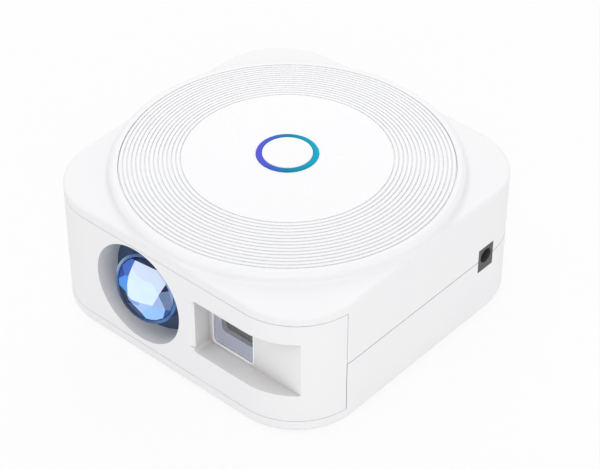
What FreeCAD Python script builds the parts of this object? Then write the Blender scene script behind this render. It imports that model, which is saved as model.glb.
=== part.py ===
import FreeCAD, Part
import math
import os
import string
import Sketcher

# Tabletop star and nebula projector: a white rounded-square case with a domed, ring-grooved top,
# a wrap-round faceplate with a round lens bore and a square laser window, a sprung key in a light
# ring, and the lamp, laser, motors, wheels and boards that it needs inside.
# Millimetres. Origin at the centre of the footprint, on the surface the feet stand on.
# +Z is up, the faceplate looks along -Y, the power socket is on the +X side.

os.makedirs("parts", exist_ok=True)
doc = FreeCAD.newDocument("star_projector")
sheet = doc.addObject("Spreadsheet::Sheet", "sizes")

SIZES = (
    ("body_width", 141.0, "outside width and depth of the case"),
    ("corner_radius", 28.7, "outside radius of the upright corners"),
    ("wall", 2.4, "wall of the shells and the faceplate"),
    ("foot_stand", 1.0, "the case floor stands this far off the table"),
    ("base_round", 2.6, "round along the bottom edge of the case"),
    ("parting_height", 29.7, "where the lower shell meets the upper shell"),
    ("rim_height", 63.6, "height of the flat rim round the grooved disc"),
    ("rim_width", 1.6, "flat white band outside the grooved disc"),
    ("disc_radius", 65.7, "radius of the grooved disc"),
    ("disc_gap", 0.6, "gap round the disc, which reads as the outermost groove"),
    ("disc_edge", 2.2, "thickness of the disc at its edge"),
    ("dome_rise", 3.3, "how far the disc rises to its middle"),
    ("shoulder_round", 2.2, "round at the top of the raised rim"),
    ("shoulder_step", 4.4, "from the rim down to the corner tops"),
    ("cove_radius", 1.6, "hollow round at the foot of the rim"),
    ("corner_fall", 1.9, "fall of the corner tops out to the reach"),
    ("profile_reach", 95.0, "radius that the turned top profile is drawn to"),
    ("edge_round", 1.0, "round along the top edge of the case"),
    ("deck_thick", 2.4, "thickness of the deck under the disc"),
    ("groove_count", 14.0, "fine grooves inside the outermost one"),
    ("groove_pitch", 1.73, "radial step from groove to groove"),
    ("groove_width", 0.6, "width of a groove"),
    ("groove_depth", 0.7, "depth of a groove"),
    ("lip_height", 2.0, "locating lip of the upper shell"),
    ("lip_thick", 1.1, "thickness of that lip"),
    ("fit_gap", 0.15, "clearance of the lip and other located edges"),
    ("plate_rear", 45.4, "the faceplate's side seams lie this far in front of the middle"),
    ("plate_bottom", 6.8, "height of the faceplate's lower seam"),
    ("plate_top", 54.4, "height of the faceplate's upper seam"),
    ("seam_gap", 0.3, "open seam beside and above the faceplate and between the shells"),
    ("seam_depth", 0.6, "depth of the shadow line between the shells"),
    ("tab_width", 12.0, "width of the faceplate's snap tabs"),
    ("tab_thick", 1.5, "thickness of a snap tab"),
    ("tab_reach", 2.2, "how far a tab reaches behind the shell"),
    ("bore_x", -14.1, "middle of the lens bore, left of the centre"),
    ("bore_height", 31.5, "height of the lens bore's middle"),
    ("bore_radius", 22.0, "radius of the lens bore"),
    ("collar_thick", 1.2, "wall of the bore's collar"),
    ("lens_inset", 4.2, "the lens rim lies this far behind the faceplate"),
    ("lens_tilt", 10.2, "degrees that the lens looks up"),
    ("lens_turn", 7.8, "degrees that the lens looks to the right"),
    ("recess_left", 15.5, "left wall of the window recess"),
    ("recess_right", 62.6, "right end of the window recess"),
    ("recess_low", 19.8, "floor of the window recess"),
    ("recess_high", 45.3, "roof of the window recess"),
    ("recess_depth", 8.4, "depth of the window recess"),
    ("recess_round", 1.5, "corner radius of the window recess"),
    ("recess_wall", 2.4, "walls of the recess box"),
    ("bevel_width", 2.4, "width of the bevel on the left edge of the recess"),
    ("bevel_depth", 0.8, "depth of that bevel"),
    ("glass_left", 17.3, "left edge of the laser window"),
    ("glass_width", 21.0, "width of the laser window"),
    ("glass_low", 20.6, "lower edge of the laser window"),
    ("glass_height", 23.9, "height of the laser window"),
    ("glass_round", 1.7, "corner radius of the laser window"),
    ("glass_gap", 0.1, "clearance round the laser window"),
    ("glass_set", 0.3, "the window lies this far behind the recess's back face"),
    ("aperture_left", 21.2, "left edge of the dark aperture behind the window"),
    ("aperture_width", 16.0, "width of the aperture"),
    ("aperture_low", 27.8, "lower edge of the aperture"),
    ("aperture_height", 15.0, "height of the aperture"),
    ("aperture_round", 2.0, "corner radius of the aperture"),
    ("bezel_margin", 1.8, "the inner frame reaches this far past the window"),
    ("bezel_thick", 2.0, "thickness of the inner frame"),
    ("rear_post", 54.0, "rear screw posts, in X and in Y"),
    ("front_post_x", 57.0, "front screw posts, in X"),
    ("front_post_y", 48.0, "front screw posts, in Y"),
    ("post_radius", 4.0, "radius of a screw post"),
    ("screw_radius", 1.5, "radius of a case screw's thread"),
    ("screw_head_radius", 2.8, "radius of a case screw's head"),
    ("screw_head_height", 1.8, "height of a case screw's head"),
    ("screw_length", 38.0, "length of a case screw under its head"),
    ("screw_clearance", 0.3, "clearance round a screw in its passage"),
    ("head_recess", 3.0, "depth of the recess for a case screw's head"),
    ("foot_place", 41.0, "middle of each rubber foot, in X and in Y"),
    ("foot_radius", 7.0, "radius of a rubber foot"),
    ("foot_set", 1.2, "depth of a foot's seat in the case floor"),
    ("foot_edge", 0.4, "bevel round a foot"),
    ("vent_count", 7.0, "cooling slots in the case floor"),
    ("vent_pitch", 6.0, "step from slot to slot"),
    ("vent_length", 24.0, "length of a slot"),
    ("vent_width", 2.2, "width of a slot"),
    ("jack_width", 9.0, "width of the power socket's face"),
    ("jack_height", 11.0, "height of the power socket's face"),
    ("jack_depth", 14.0, "depth of the power socket"),
    ("jack_y", 38.2, "middle of the power socket, behind the centre"),
    ("jack_z", 29.5, "height of the power socket's middle"),
    ("jack_hole", 3.2, "radius of the socket's hole"),
    ("jack_hole_lift", 0.9, "the hole lies this far above the face's middle"),
    ("jack_hole_depth", 9.5, "depth of the socket's hole"),
    ("pin_radius", 1.0, "radius of the socket's centre pin"),
    ("pin_short", 2.5, "the pin stops this far inside the face"),
    ("jack_gap", 0.15, "clearance round the socket in the shells"),
    ("board_thick", 1.6, "thickness of a circuit board"),
    ("ring_radius", 14.7, "outside radius of the lens rim and its tube"),
    ("ring_bore", 13.3, "inside radius of the lens rim"),
    ("ring_depth", 3.0, "depth of the clear rim"),
    ("lens_radius", 13.1, "radius of the faceted lens"),
    ("lens_table", 0.7, "the lens's large facet stands this far in front of the rim"),
    ("lens_girdle", 0.2, "the small facets end this far behind the rim"),
    ("lens_back", 6.5, "the lens ends this far behind the rim"),
    ("flange_set", 9.5, "the holder's flange lies this far behind the rim"),
    ("flange_thick", 2.5, "thickness of the holder's flange"),
    ("flange_radius", 26.0, "radius of the holder's flange"),
    ("throat_radius", 11.3, "light passage through the holder"),
    ("lug_place", 25.0, "screw lugs of the collar, from the lens axis"),
    ("lug_radius", 3.0, "radius of a screw lug"),
    ("lug_length", 7.0, "length of a screw lug"),
    ("small_screw", 1.0, "radius of a small screw's thread"),
    ("small_head", 2.1, "radius of a small screw's head"),
    ("small_head_height", 1.3, "height of a small screw's head"),
    ("small_gap", 0.1, "clearance round a small screw"),
    ("plate_screw", 5.0, "length of a short screw under its head"),
    ("cage_screw", 8.0, "length of the gear plate screws under their heads"),
    ("lug_place_1", 60.0, "degrees to the first lug"),
    ("lug_place_2", 165.0, "degrees to the second lug"),
    ("lug_place_3", -50.0, "degrees to the third lug"),
    ("post_place_1", 23.0, "degrees to the gear plate's first post"),
    ("post_place_2", -23.0, "degrees to its second post"),
    ("post_place_3", -73.0, "degrees to its third post"),
    ("gear_module", 0.7, "pitch diameter over teeth, for both gears"),
    ("wheel_teeth", 60.0, "teeth of the ripple wheel"),
    ("pinion_teeth", 12.0, "teeth of the drive pinion"),
    ("tooth_rise", 0.45, "tooth height above the pitch circle"),
    ("tooth_drop", 0.7, "tooth depth below the pitch circle"),
    ("tooth_half", 0.42, "half a tooth's width at the pitch circle"),
    ("tooth_taper", 0.13, "how much narrower half a tooth is at its tip"),
    ("mesh_gap", 0.1, "extra distance between the two gear axes"),
    ("pinion_angle", 60.0, "degrees from the wheel's level to the pinion"),
    ("wheel_offset", 13.6, "the ripple wheel's axle lies this far left of the lens axis"),
    ("wheel_thick", 2.0, "thickness of the ripple wheel"),
    ("hub_radius", 3.4, "radius of the ripple wheel's hub"),
    ("hub_length", 3.8, "length of the ripple wheel's hub"),
    ("axle_radius", 1.5, "radius of the ripple wheel's axle"),
    ("run_gap", 0.05, "running clearance on an axle, on the radius"),
    ("side_gap", 0.3, "play at each end of a hub"),
    ("cage_thick", 2.5, "thickness of the gear plate"),
    ("cage_radius", 24.0, "radius of the gear plate"),
    ("cage_lobe", 8.5, "radius of the gear plate's motor lobe"),
    ("post_place", 20.4, "gear plate posts, from the lens axis"),
    ("cage_post", 2.6, "radius of a gear plate post"),
    ("shaft_radius", 1.0, "radius of a motor shaft"),
    ("shaft_gap", 0.3, "clearance where a shaft passes a plate"),
    ("motor_radius", 6.0, "radius of a motor"),
    ("motor_length", 15.0, "length of a motor"),
    ("motor_tail", 1.0, "boss on the back of a motor"),
    ("sleeve_wall", 1.5, "wall of the sleeves that hold motors and laser"),
    ("sleeve_length", 5.0, "length of those sleeves"),
    ("motor_socket", 3.5, "how deep a shaft runs into its motor"),
    ("pinion_thick", 2.4, "thickness of the pinion"),
    ("tube_radius", 12.0, "outside radius of the light tube"),
    ("tube_wall", 1.8, "wall of the light tube"),
    ("tube_length", 17.1, "length of the light tube"),
    ("tube_flange", 14.0, "radius of the light tube's flange"),
    ("tube_flange_thick", 2.0, "thickness of that flange"),
    ("condenser_set", 5.0, "the condenser lies this far inside the tube"),
    ("condenser_edge", 2.0, "edge thickness of the condenser"),
    ("condenser_rise", 2.5, "how far the condenser's face bulges"),
    ("condenser_ledge", 1.0, "ledge that the condenser rests on"),
    ("ear_place", 14.6, "ears of the light tube, from its axis"),
    ("ear_angle", 50.0, "degrees to the front ears of the light tube"),
    ("ear_radius", 3.2, "radius of an ear"),
    ("ear_thick", 3.6, "thickness of an ear, over the lamp board"),
    ("emitter_side", 3.0, "side of an emitter"),
    ("emitter_rise", 1.0, "height of an emitter"),
    ("emitter_place", 2.2, "emitters, from the tube's axis, both ways"),
    ("sink_side", 32.0, "side of the heat sink"),
    ("sink_base", 3.0, "thickness of the heat sink's base"),
    ("fin_count", 7.0, "fins of the heat sink"),
    ("fin_thick", 1.4, "thickness of a fin"),
    ("fin_length", 11.0, "length of a fin"),
    ("grating_set", 3.5, "the grating wheel lies this far behind the inner frame"),
    ("grating_radius", 16.0, "radius of the grating wheel"),
    ("grating_offset", 12.0, "the grating wheel's shaft lies this far right of the beam"),
    ("grating_thick", 1.2, "thickness of the grating wheel"),
    ("grating_hub", 3.5, "radius of the grating wheel's hub"),
    ("grating_hub_length", 3.6, "length of that hub"),
    ("bracket_gap", 1.0, "from the hub to the star bracket"),
    ("bracket_thick", 2.5, "thickness of the star bracket"),
    ("bracket_rise", 8.0, "bracket above the beam"),
    ("bracket_margin", 8.0, "bracket beside the beam and the shaft"),
    ("bracket_foot", 11.0, "depth of the bracket's foot"),
    ("boss_rise", 3.0, "height of the bosses under that foot"),
    ("laser_radius", 5.0, "radius of the laser barrel"),
    ("laser_length", 30.0, "length of the laser barrel"),
    ("laser_lead", 1.2, "the barrel reaches this far in front of the bracket"),
    ("laser_mouth", 2.0, "radius of the laser's mouth"),
    ("laser_mouth_depth", 2.5, "depth of the laser's mouth"),
    ("board_height", 9.0, "underside of the main board"),
    ("board_left", -42.0, "left edge of the main board"),
    ("board_length", 75.0, "main board, along X"),
    ("board_front", 2.0, "front edge of the main board"),
    ("board_depth", 56.0, "main board, along Y"),
    ("board_margin", 3.4, "main board screws, from the board's edges"),
    ("standoff_radius", 2.6, "radius of a board standoff"),
    ("power_left", 42.0, "left edge of the power board"),
    ("power_length", 25.4, "power board, along X"),
    ("power_front", 25.4, "front edge of the power board"),
    ("power_depth", 20.0, "power board, along Y"),
    ("opening_radius", 14.0, "opening in the deck under the key"),
    ("key_radius", 10.0, "radius of the key"),
    ("key_gap", 0.15, "clearance between the key and the light ring"),
    ("light_radius", 12.3, "outside radius of the light ring"),
    ("light_rise", 0.4, "light ring above the disc's middle"),
    ("key_rise", 0.5, "key above the disc's middle"),
    ("key_thick", 1.8, "thickness of the key's top"),
    ("key_wall", 1.4, "wall of the key's skirt"),
    ("key_flange", 1.2, "how far the key's flange reaches out"),
    ("key_flange_thick", 1.4, "thickness of the key's flange"),
    ("key_travel", 0.6, "travel of the key"),
    ("key_stop_gap", 0.1, "play above the key's flange"),
    ("ring_shelf", 62.0, "height of the stop inside the light ring"),
    ("led_groove", 1.3, "height of the lamp channel in the light ring"),
    ("led_groove_width", 1.6, "width of that channel"),
    ("led_count", 8.0, "lamps under the light ring"),
    ("led_length", 2.0, "length of such a lamp"),
    ("led_width", 1.0, "width of such a lamp"),
    ("led_rise", 0.7, "height of such a lamp"),
    ("stem_radius", 2.2, "radius of the stem under the key"),
    ("disc_seat", 4.2, "width of the rings that the disc rests on"),
    ("soft_edge", 0.3, "small rounds on the ring, the key and the lens rim"),
    ("switch_side", 6.0, "side of the switch under the key"),
    ("switch_rise", 3.5, "height of the switch"),
    ("plunger_radius", 1.7, "radius of the switch's plunger"),
    ("plunger_rise", 0.9, "plunger above the switch"),
    ("plunger_sunk", 2.2, "plunger inside the switch"),
    ("key_board_radius", 17.5, "radius of the key board"),
    ("key_screw_place", 15.6, "key board screws, from the middle"),
    ("cut_over", 5.0, "overrun of a cut past the solid"),
)
for row, (name, number, meaning) in enumerate(SIZES, start=1):
    sheet.set("A%d" % row, meaning)
    sheet.set("B%d" % row, str(number))
    sheet.setAlias("B%d" % row, name)
doc.recompute()


class Size:
    """A number and the sheet formula it comes from; sums of sizes carry both."""

    def __init__(self, number, text):
        self.number = float(number)
        self.text = text

    def __add__(self, other):
        other = as_size(other)
        return Size(self.number + other.number, "(%s + %s)" % (self.text, other.text))

    def __sub__(self, other):
        other = as_size(other)
        return Size(self.number - other.number, "(%s - %s)" % (self.text, other.text))

    def __mul__(self, other):
        other = as_size(other)
        return Size(self.number * other.number, "(%s * %s)" % (self.text, other.text))

    def __truediv__(self, other):
        other = as_size(other)
        return Size(self.number / other.number, "(%s / %s)" % (self.text, other.text))

    def __neg__(self):
        return Size(-self.number, "(0 - %s)" % self.text)


def as_size(value):
    return value if isinstance(value, Size) else Size(value, "%.9g" % value)


def root(value):
    return Size(math.sqrt(value.number), "sqrt(%s)" % value.text)


def cosine(degrees):
    return Size(math.cos(math.radians(degrees.number)), "cos(%s * 1 deg)" % degrees.text)


def sine(degrees):
    return Size(math.sin(math.radians(degrees.number)), "sin(%s * 1 deg)" % degrees.text)


class Named:
    """The sheet's cells as sizes."""


size = Named()
for name, number, meaning in SIZES:
    setattr(size, name, Size(number, "sizes." + name))
ZERO = as_size(0)


def bind(thing, name, value):
    thing.setExpression(name, as_size(value).text)


def new_body(label):
    body = doc.addObject("PartDesign::Body", label)
    body.Label = label
    return body


def new_sketch(body, name, plane="XY_Plane", lift=ZERO, frame=None):
    """A sketch on one of the body's own planes, lifted along the plane's normal or set in a frame."""
    sketch = body.newObject("Sketcher::SketchObject", body.Name + "_" + name)
    support = [part for part in body.Origin.OriginFeatures if part.Role == plane][0]
    sketch.AttachmentSupport = [(support, "")]
    sketch.MapMode = "FlatFace"
    if frame is None:
        bind(sketch, "AttachmentOffset.Base.z", lift)
    else:
        sketch.AttachmentOffset = frame.multiply(FreeCAD.Placement(upright(lift.number), FreeCAD.Rotation()))
    return sketch


def upright(height):
    return FreeCAD.Vector(0, 0, height)


def pin_point(sketch, shape, corner, x, y):
    """Hold one point of a sketch shape at formulas for its two coordinates."""
    for kind, place in (("DistanceX", as_size(x)), ("DistanceY", as_size(y))):
        number = sketch.addConstraint(Sketcher.Constraint(kind, -1, 1, shape, corner, place.number))
        sketch.setExpression("Constraints[%d]" % number, place.text)


def hold_radius(sketch, shape, radius):
    number = sketch.addConstraint(Sketcher.Constraint("Radius", shape, radius.number))
    sketch.setExpression("Constraints[%d]" % number, radius.text)


def draw_circle(sketch, x, y, radius):
    middle = FreeCAD.Vector(as_size(x).number, as_size(y).number, 0)
    shape = sketch.addGeometry(Part.Circle(middle, upright(1), radius.number))
    pin_point(sketch, shape, 3, x, y)
    hold_radius(sketch, shape, radius)


def arc_between(start, end, radius, turns_left):
    """The short arc from start to end, and the order of its two ends in the arc's own terms."""
    middle = (start + end) / 2
    across = end - start
    reach = math.sqrt(max(radius ** 2 - (across.Length / 2) ** 2, 0))
    side = FreeCAD.Vector(-across.y, across.x, 0).normalize() * (reach if turns_left else -reach)
    centre = middle + side
    first, last = (start, end) if turns_left else (end, start)
    angles = [math.atan2(point.y - centre.y, point.x - centre.x) for point in (first, last)]
    circle = Part.Circle(centre, upright(1), radius)
    return Part.ArcOfCircle(circle, angles[0], angles[1]), (1, 2) if turns_left else (2, 1)


def draw_outline(sketch, steps):
    """A closed outline. A step is x, y for a straight run to that point, or x, y, radius, turns_left."""
    places = [FreeCAD.Vector(as_size(step[0]).number, as_size(step[1]).number, 0) for step in steps]
    runs = []
    for index, step in enumerate(steps):
        start, end = places[index - 1], places[index]
        if len(step) == 2:
            runs.append((sketch.addGeometry(Part.LineSegment(start, end)), 1, 2))
        else:
            arc, ends = arc_between(start, end, step[2].number, step[3])
            shape = sketch.addGeometry(arc)
            runs.append((shape, ends[0], ends[1]))
    for index, (shape, first, last) in enumerate(runs):
        before = runs[index - 1]
        sketch.addConstraint(Sketcher.Constraint("Coincident", before[0], before[2], shape, first))
        pin_point(sketch, shape, last, steps[index][0], steps[index][1])
        if len(steps[index]) > 2:
            hold_radius(sketch, shape, steps[index][2])


def draw_box(sketch, x_low, x_high, y_low, y_high):
    draw_outline(sketch, [(x_low, y_low), (x_high, y_low), (x_high, y_high), (x_low, y_high)])


def draw_rounded(sketch, x_low, x_high, y_low, y_high, radius):
    """A rectangle with round corners, drawn anticlockwise."""
    x_low, x_high, y_low, y_high = (as_size(side) for side in (x_low, x_high, y_low, y_high))
    draw_outline(sketch, [
        (x_low, y_low + radius),
        (x_low + radius, y_low, radius, True),
        (x_high - radius, y_low),
        (x_high, y_low + radius, radius, True),
        (x_high, y_high - radius),
        (x_high - radius, y_high, radius, True),
        (x_low + radius, y_high),
        (x_low, y_high - radius, radius, True),
    ])


def solid_volume(body):
    return body.Tip.Shape.Volume if body.Tip and not body.Tip.Shape.isNull() else 0.0


def finish_step(body, feature, before, grows):
    """Recompute, and stop if the step did not add or remove material as it should."""
    doc.recompute()
    after = feature.Shape.Volume
    if (after <= before) if grows else (after >= before):
        raise ValueError("%s changed the volume from %.3f to %.3f" % (feature.Name, before, after))
    return feature


def pad(body, sketch, length, back=False):
    before = solid_volume(body)
    feature = body.newObject("PartDesign::Pad", sketch.Name + "_pad")
    feature.Profile = sketch
    bind(feature, "Length", length)
    feature.Reversed = back
    return finish_step(body, feature, before, True)


def pocket(body, sketch, depth, forward=False):
    """Cut against the sketch's normal, or along it if forward."""
    before = solid_volume(body)
    feature = body.newObject("PartDesign::Pocket", sketch.Name + "_pocket")
    feature.Profile = sketch
    bind(feature, "Length", depth)
    feature.Reversed = forward
    return finish_step(body, feature, before, False)


def turned(body, sketch, cuts=False):
    """Turn a sketch of the XZ plane about the body's upright axis."""
    before = solid_volume(body)
    kind = "PartDesign::Groove" if cuts else "PartDesign::Revolution"
    feature = body.newObject(kind, sketch.Name + "_turned")
    feature.Profile = sketch
    feature.ReferenceAxis = (sketch, ["V_Axis"])
    feature.Angle = 360
    return finish_step(body, feature, before, not cuts)


def edges_where(feature, test):
    return ["Edge%d" % (index + 1) for index, edge in enumerate(feature.Shape.Edges) if test(edge)]


def soften(body, base, kind, names, radius):
    """Fillet or chamfer named edges of the feature before it."""
    feature = body.newObject("PartDesign::" + kind, "%s_%s" % (base.Name, kind.lower()))
    feature.Base = (base, names)
    bind(feature, "Radius" if kind == "Fillet" else "Size", radius)
    doc.recompute()
    return feature


# Places that several pieces share
half = size.body_width / 2
inner_half = half - size.wall
inner_corner = size.corner_radius - size.wall
floor_top = size.foot_stand + size.wall
deck_top = size.rim_height - size.disc_edge
deck_under = deck_top - size.deck_thick
corner_top = size.rim_height - size.shoulder_step - size.corner_fall
corner_under = corner_top - size.wall
dome_radius = (size.disc_radius * size.disc_radius + size.dome_rise * size.dome_rise) / (size.dome_rise * 2)
dome_top = size.rim_height + size.dome_rise
rim_inside = size.disc_radius + size.disc_gap
shoulder_radius = rim_inside + size.rim_width + size.shoulder_round
plate_inner = -inner_half
recess_back = size.recess_depth - half
recess_rear = recess_back + size.recess_wall
shell_posts = [
    (size.rear_post, size.rear_post),
    (-size.rear_post, size.rear_post),
    (size.front_post_x, -size.front_post_y),
    (-size.front_post_x, -size.front_post_y),
]
foot_spots = [(size.foot_place * x, size.foot_place * y) for x in (-1, 1) for y in (-1, 1)]
board_right = size.board_left + size.board_length
board_rear = size.board_front + size.board_depth
board_spots = [
    (x, y)
    for x in (size.board_left + size.board_margin, board_right - size.board_margin)
    for y in (size.board_front + size.board_margin, board_rear - size.board_margin)
]
jack_low = size.jack_z - size.jack_height / 2
power_top = jack_low
power_right = size.power_left + size.power_length
power_rear = size.power_front + size.power_depth
power_spots = [
    (size.power_left + size.board_margin, y)
    for y in (size.power_front + size.board_margin, power_rear - size.board_margin)
]
beam_x = size.aperture_left + size.aperture_width / 2
beam_z = size.aperture_low + size.aperture_height / 2
star_shaft_x = beam_x + size.grating_offset
bezel_rear = recess_rear + size.bezel_thick
grating_front = bezel_rear + size.grating_set
grating_middle = grating_front + size.grating_thick / 2
grating_hub_rear = grating_middle + size.grating_hub_length / 2
bracket_front = grating_hub_rear + size.bracket_gap
bracket_rear = bracket_front + size.bracket_thick
bracket_left = beam_x - size.bracket_margin
bracket_right = star_shaft_x + size.bracket_margin
bracket_spots = [
    (x, bracket_rear + size.bracket_foot / 2)
    for x in (bracket_left + size.board_margin, bracket_right - size.board_margin)
]
bracket_base = floor_top + size.boss_rise


def lens_frame():
    """The tilted frame of the lens: X across, Y up the lens, Z out of it, zero at the rim's middle."""
    tilt = math.radians(size.lens_tilt.number)
    turn = math.radians(size.lens_turn.number)
    across = FreeCAD.Vector(math.cos(turn), math.sin(turn), 0)
    outward = FreeCAD.Vector(
        math.sin(turn) * math.cos(tilt), -math.cos(turn) * math.cos(tilt), math.sin(tilt)
    )
    middle = FreeCAD.Vector(size.bore_x.number, (size.lens_inset - half).number, size.bore_height.number)
    return FreeCAD.Placement(middle, FreeCAD.Rotation(across, outward.cross(across), outward, "ZXY"))


LENS = lens_frame()
flange_front = -size.flange_set
flange_rear = flange_front - size.flange_thick
hub_front = flange_rear - size.side_gap
hub_rear = hub_front - size.hub_length
cage_front = hub_rear - size.side_gap
cage_rear = cage_front - size.cage_thick
wheel_middle = (hub_front + hub_rear) / 2
wheel_pitch = size.gear_module * size.wheel_teeth / 2
pinion_pitch = size.gear_module * size.pinion_teeth / 2
gear_reach = wheel_pitch + pinion_pitch + size.mesh_gap
pinion_x = gear_reach * cosine(size.pinion_angle) - size.wheel_offset
pinion_y = gear_reach * sine(size.pinion_angle)
tube_rear = cage_rear - size.tube_length
tube_bore = size.tube_radius - size.tube_wall
lamp_rear = tube_rear - size.board_thick
sleeve_bore = size.motor_radius + size.fit_gap
ring_flange = size.opening_radius - size.fit_gap
channel_inside = ring_flange - size.soft_edge - size.led_groove_width
plunger_top = deck_under + size.switch_rise + size.plunger_rise
plunger_foot = plunger_top - size.plunger_rise - size.plunger_sunk
small_kind = (size.small_screw, size.small_head, size.small_head_height)
case_kind = (size.screw_radius, size.screw_head_radius, size.screw_head_height)

# Shares of the sizes that they follow
drive_share = 0.55
blind_share = 0.6
half_turn_share = 0.5
pilot_share = 0.7
slot_round_share = 0.45
far_tab_share = 1.65

# The lens's corners inside its edge: across and up as shares of its radius, and share of the rise
CORNER_SHARES = {
    "a": (-0.404, 0.850, 1), "b": (0.366, 0.835, 1), "c": (0.738, 0.502, 1), "d": (0.569, 0.154, 1),
    "e": (0.510, 0.022, 1), "f": (0.323, -0.420, 1), "g": (-0.145, -0.511, 1), "h": (-0.434, -0.536, 1),
    "i": (-0.588, -0.439, 1), "j": (-0.632, -0.082, 1), "k": (-0.609, 0.226, 1), "l": (-0.514, 0.550, 1),
    "m": (-0.769, 0.173, 0.55), "n": (-0.697, -0.362, 0.55), "o": (-0.577, -0.588, 0.5),
    "p": (-0.429, -0.679, 0.4), "q": (-0.177, -0.647, 0.7), "r": (-0.052, -0.887, 0.2),
    "s": (0.238, -0.476, 0.8), "t": (0.762, -0.384, 0.45), "u": (0.838, 0.295, 0.5),
}
# Its corners on the edge, A to Z, as shares of a full turn
EDGE_SHARES = (
    0.352, 0.389, 0.428, 0.467, 0.508, 0.541, 0.574, 0.606, 0.638, 0.681, 0.724, 0.762, 0.794,
    0.828, 0.870, 0.906, 0.944, 0.978, 1.022, 1.069, 1.100, 1.131, 1.161, 1.192, 1.244, 1.300,
)
# Its facets as their corners, anticlockwise, with the large one first
FACETS = (
    "alkjihgfedcb", "laABCmk", "mCDE", "jkmEFni", "onFGHIp", "opqghin", "pIJKr", "qprsfg", "srLMNOt",
    "rKL", "fste", "detQRu", "tOPQ", "duc", "uRSTUVc", "cVWXb", "abXYZA",
)

# Parts on the boards: place along X and Y, then half length or radius, depth and height, as shares
MAIN_PART_SHARES = (
    (0.46, 0.52, 0.16, 0.21, 0.03),
    (0.20, 0.62, 0.09, 0.16, 0.025),
    (0.70, 0.60, 0.07, 0.09, 0.02),
    (0.18, 0.20, 0.045, 0, 0.16),
    (0.32, 0.20, 0.045, 0, 0.16),
    (0.55, 0.12, 0.13, 0.10, 0.10),
    (0.78, 0.12, 0.13, 0.10, 0.10),
    (0.93, 0.45, 0.07, 0.16, 0.10),
    (0.50, 0.88, 0.13, 0.10, 0.10),
)
POWER_PART_SHARES = (
    (0.64, 0.50, 0.15, 0, 0.45),
    (0.70, 0.90, 0.22, 0.14, 0.08),
    (0.70, 0.12, 0.30, 0.16, 0.10),
)
HERE = FreeCAD.Placement()

lug_angles = (size.lug_place_1, size.lug_place_2, size.lug_place_3)
lug_spots = [(size.lug_place * cosine(angle), size.lug_place * sine(angle)) for angle in lug_angles]
cage_angles = (size.post_place_1, size.post_place_2, size.post_place_3)
cage_spots = [(size.post_place * cosine(angle), size.post_place * sine(angle)) for angle in cage_angles]
ear_spots = [(size.ear_place * side, ZERO) for side in (-1, 1)]
front_ears = [
    (size.ear_place * cosine(size.ear_angle) * side, size.ear_place * sine(size.ear_angle) * side)
    for side in (-1, 1)
]


def shell_block(body, low, height):
    """The rounded-square block that both shells are cut from."""
    sketch = new_sketch(body, "block", lift=low)
    draw_rounded(sketch, -half, half, -half, half, size.corner_radius)
    return pad(body, sketch, height)


def cut_jack_hole(body):
    sketch = new_sketch(body, "jack_hole", "YZ_Plane", inner_half - size.cut_over)
    low = jack_low - size.jack_gap
    high = jack_low + size.jack_height + size.jack_gap
    side = size.jack_width / 2 + size.jack_gap
    draw_box(sketch, size.jack_y - side, size.jack_y + side, low, high)
    pocket(body, sketch, size.wall + size.cut_over * 2, forward=True)


def cut_plate_gap(body, low, high):
    """Take away the wall that the faceplate stands in for."""
    sketch = new_sketch(body, "plate_gap", "XZ_Plane", size.plate_rear)
    reach = half + size.cut_over
    draw_box(sketch, -reach, reach, low, high)
    pocket(body, sketch, half, forward=True)


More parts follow.
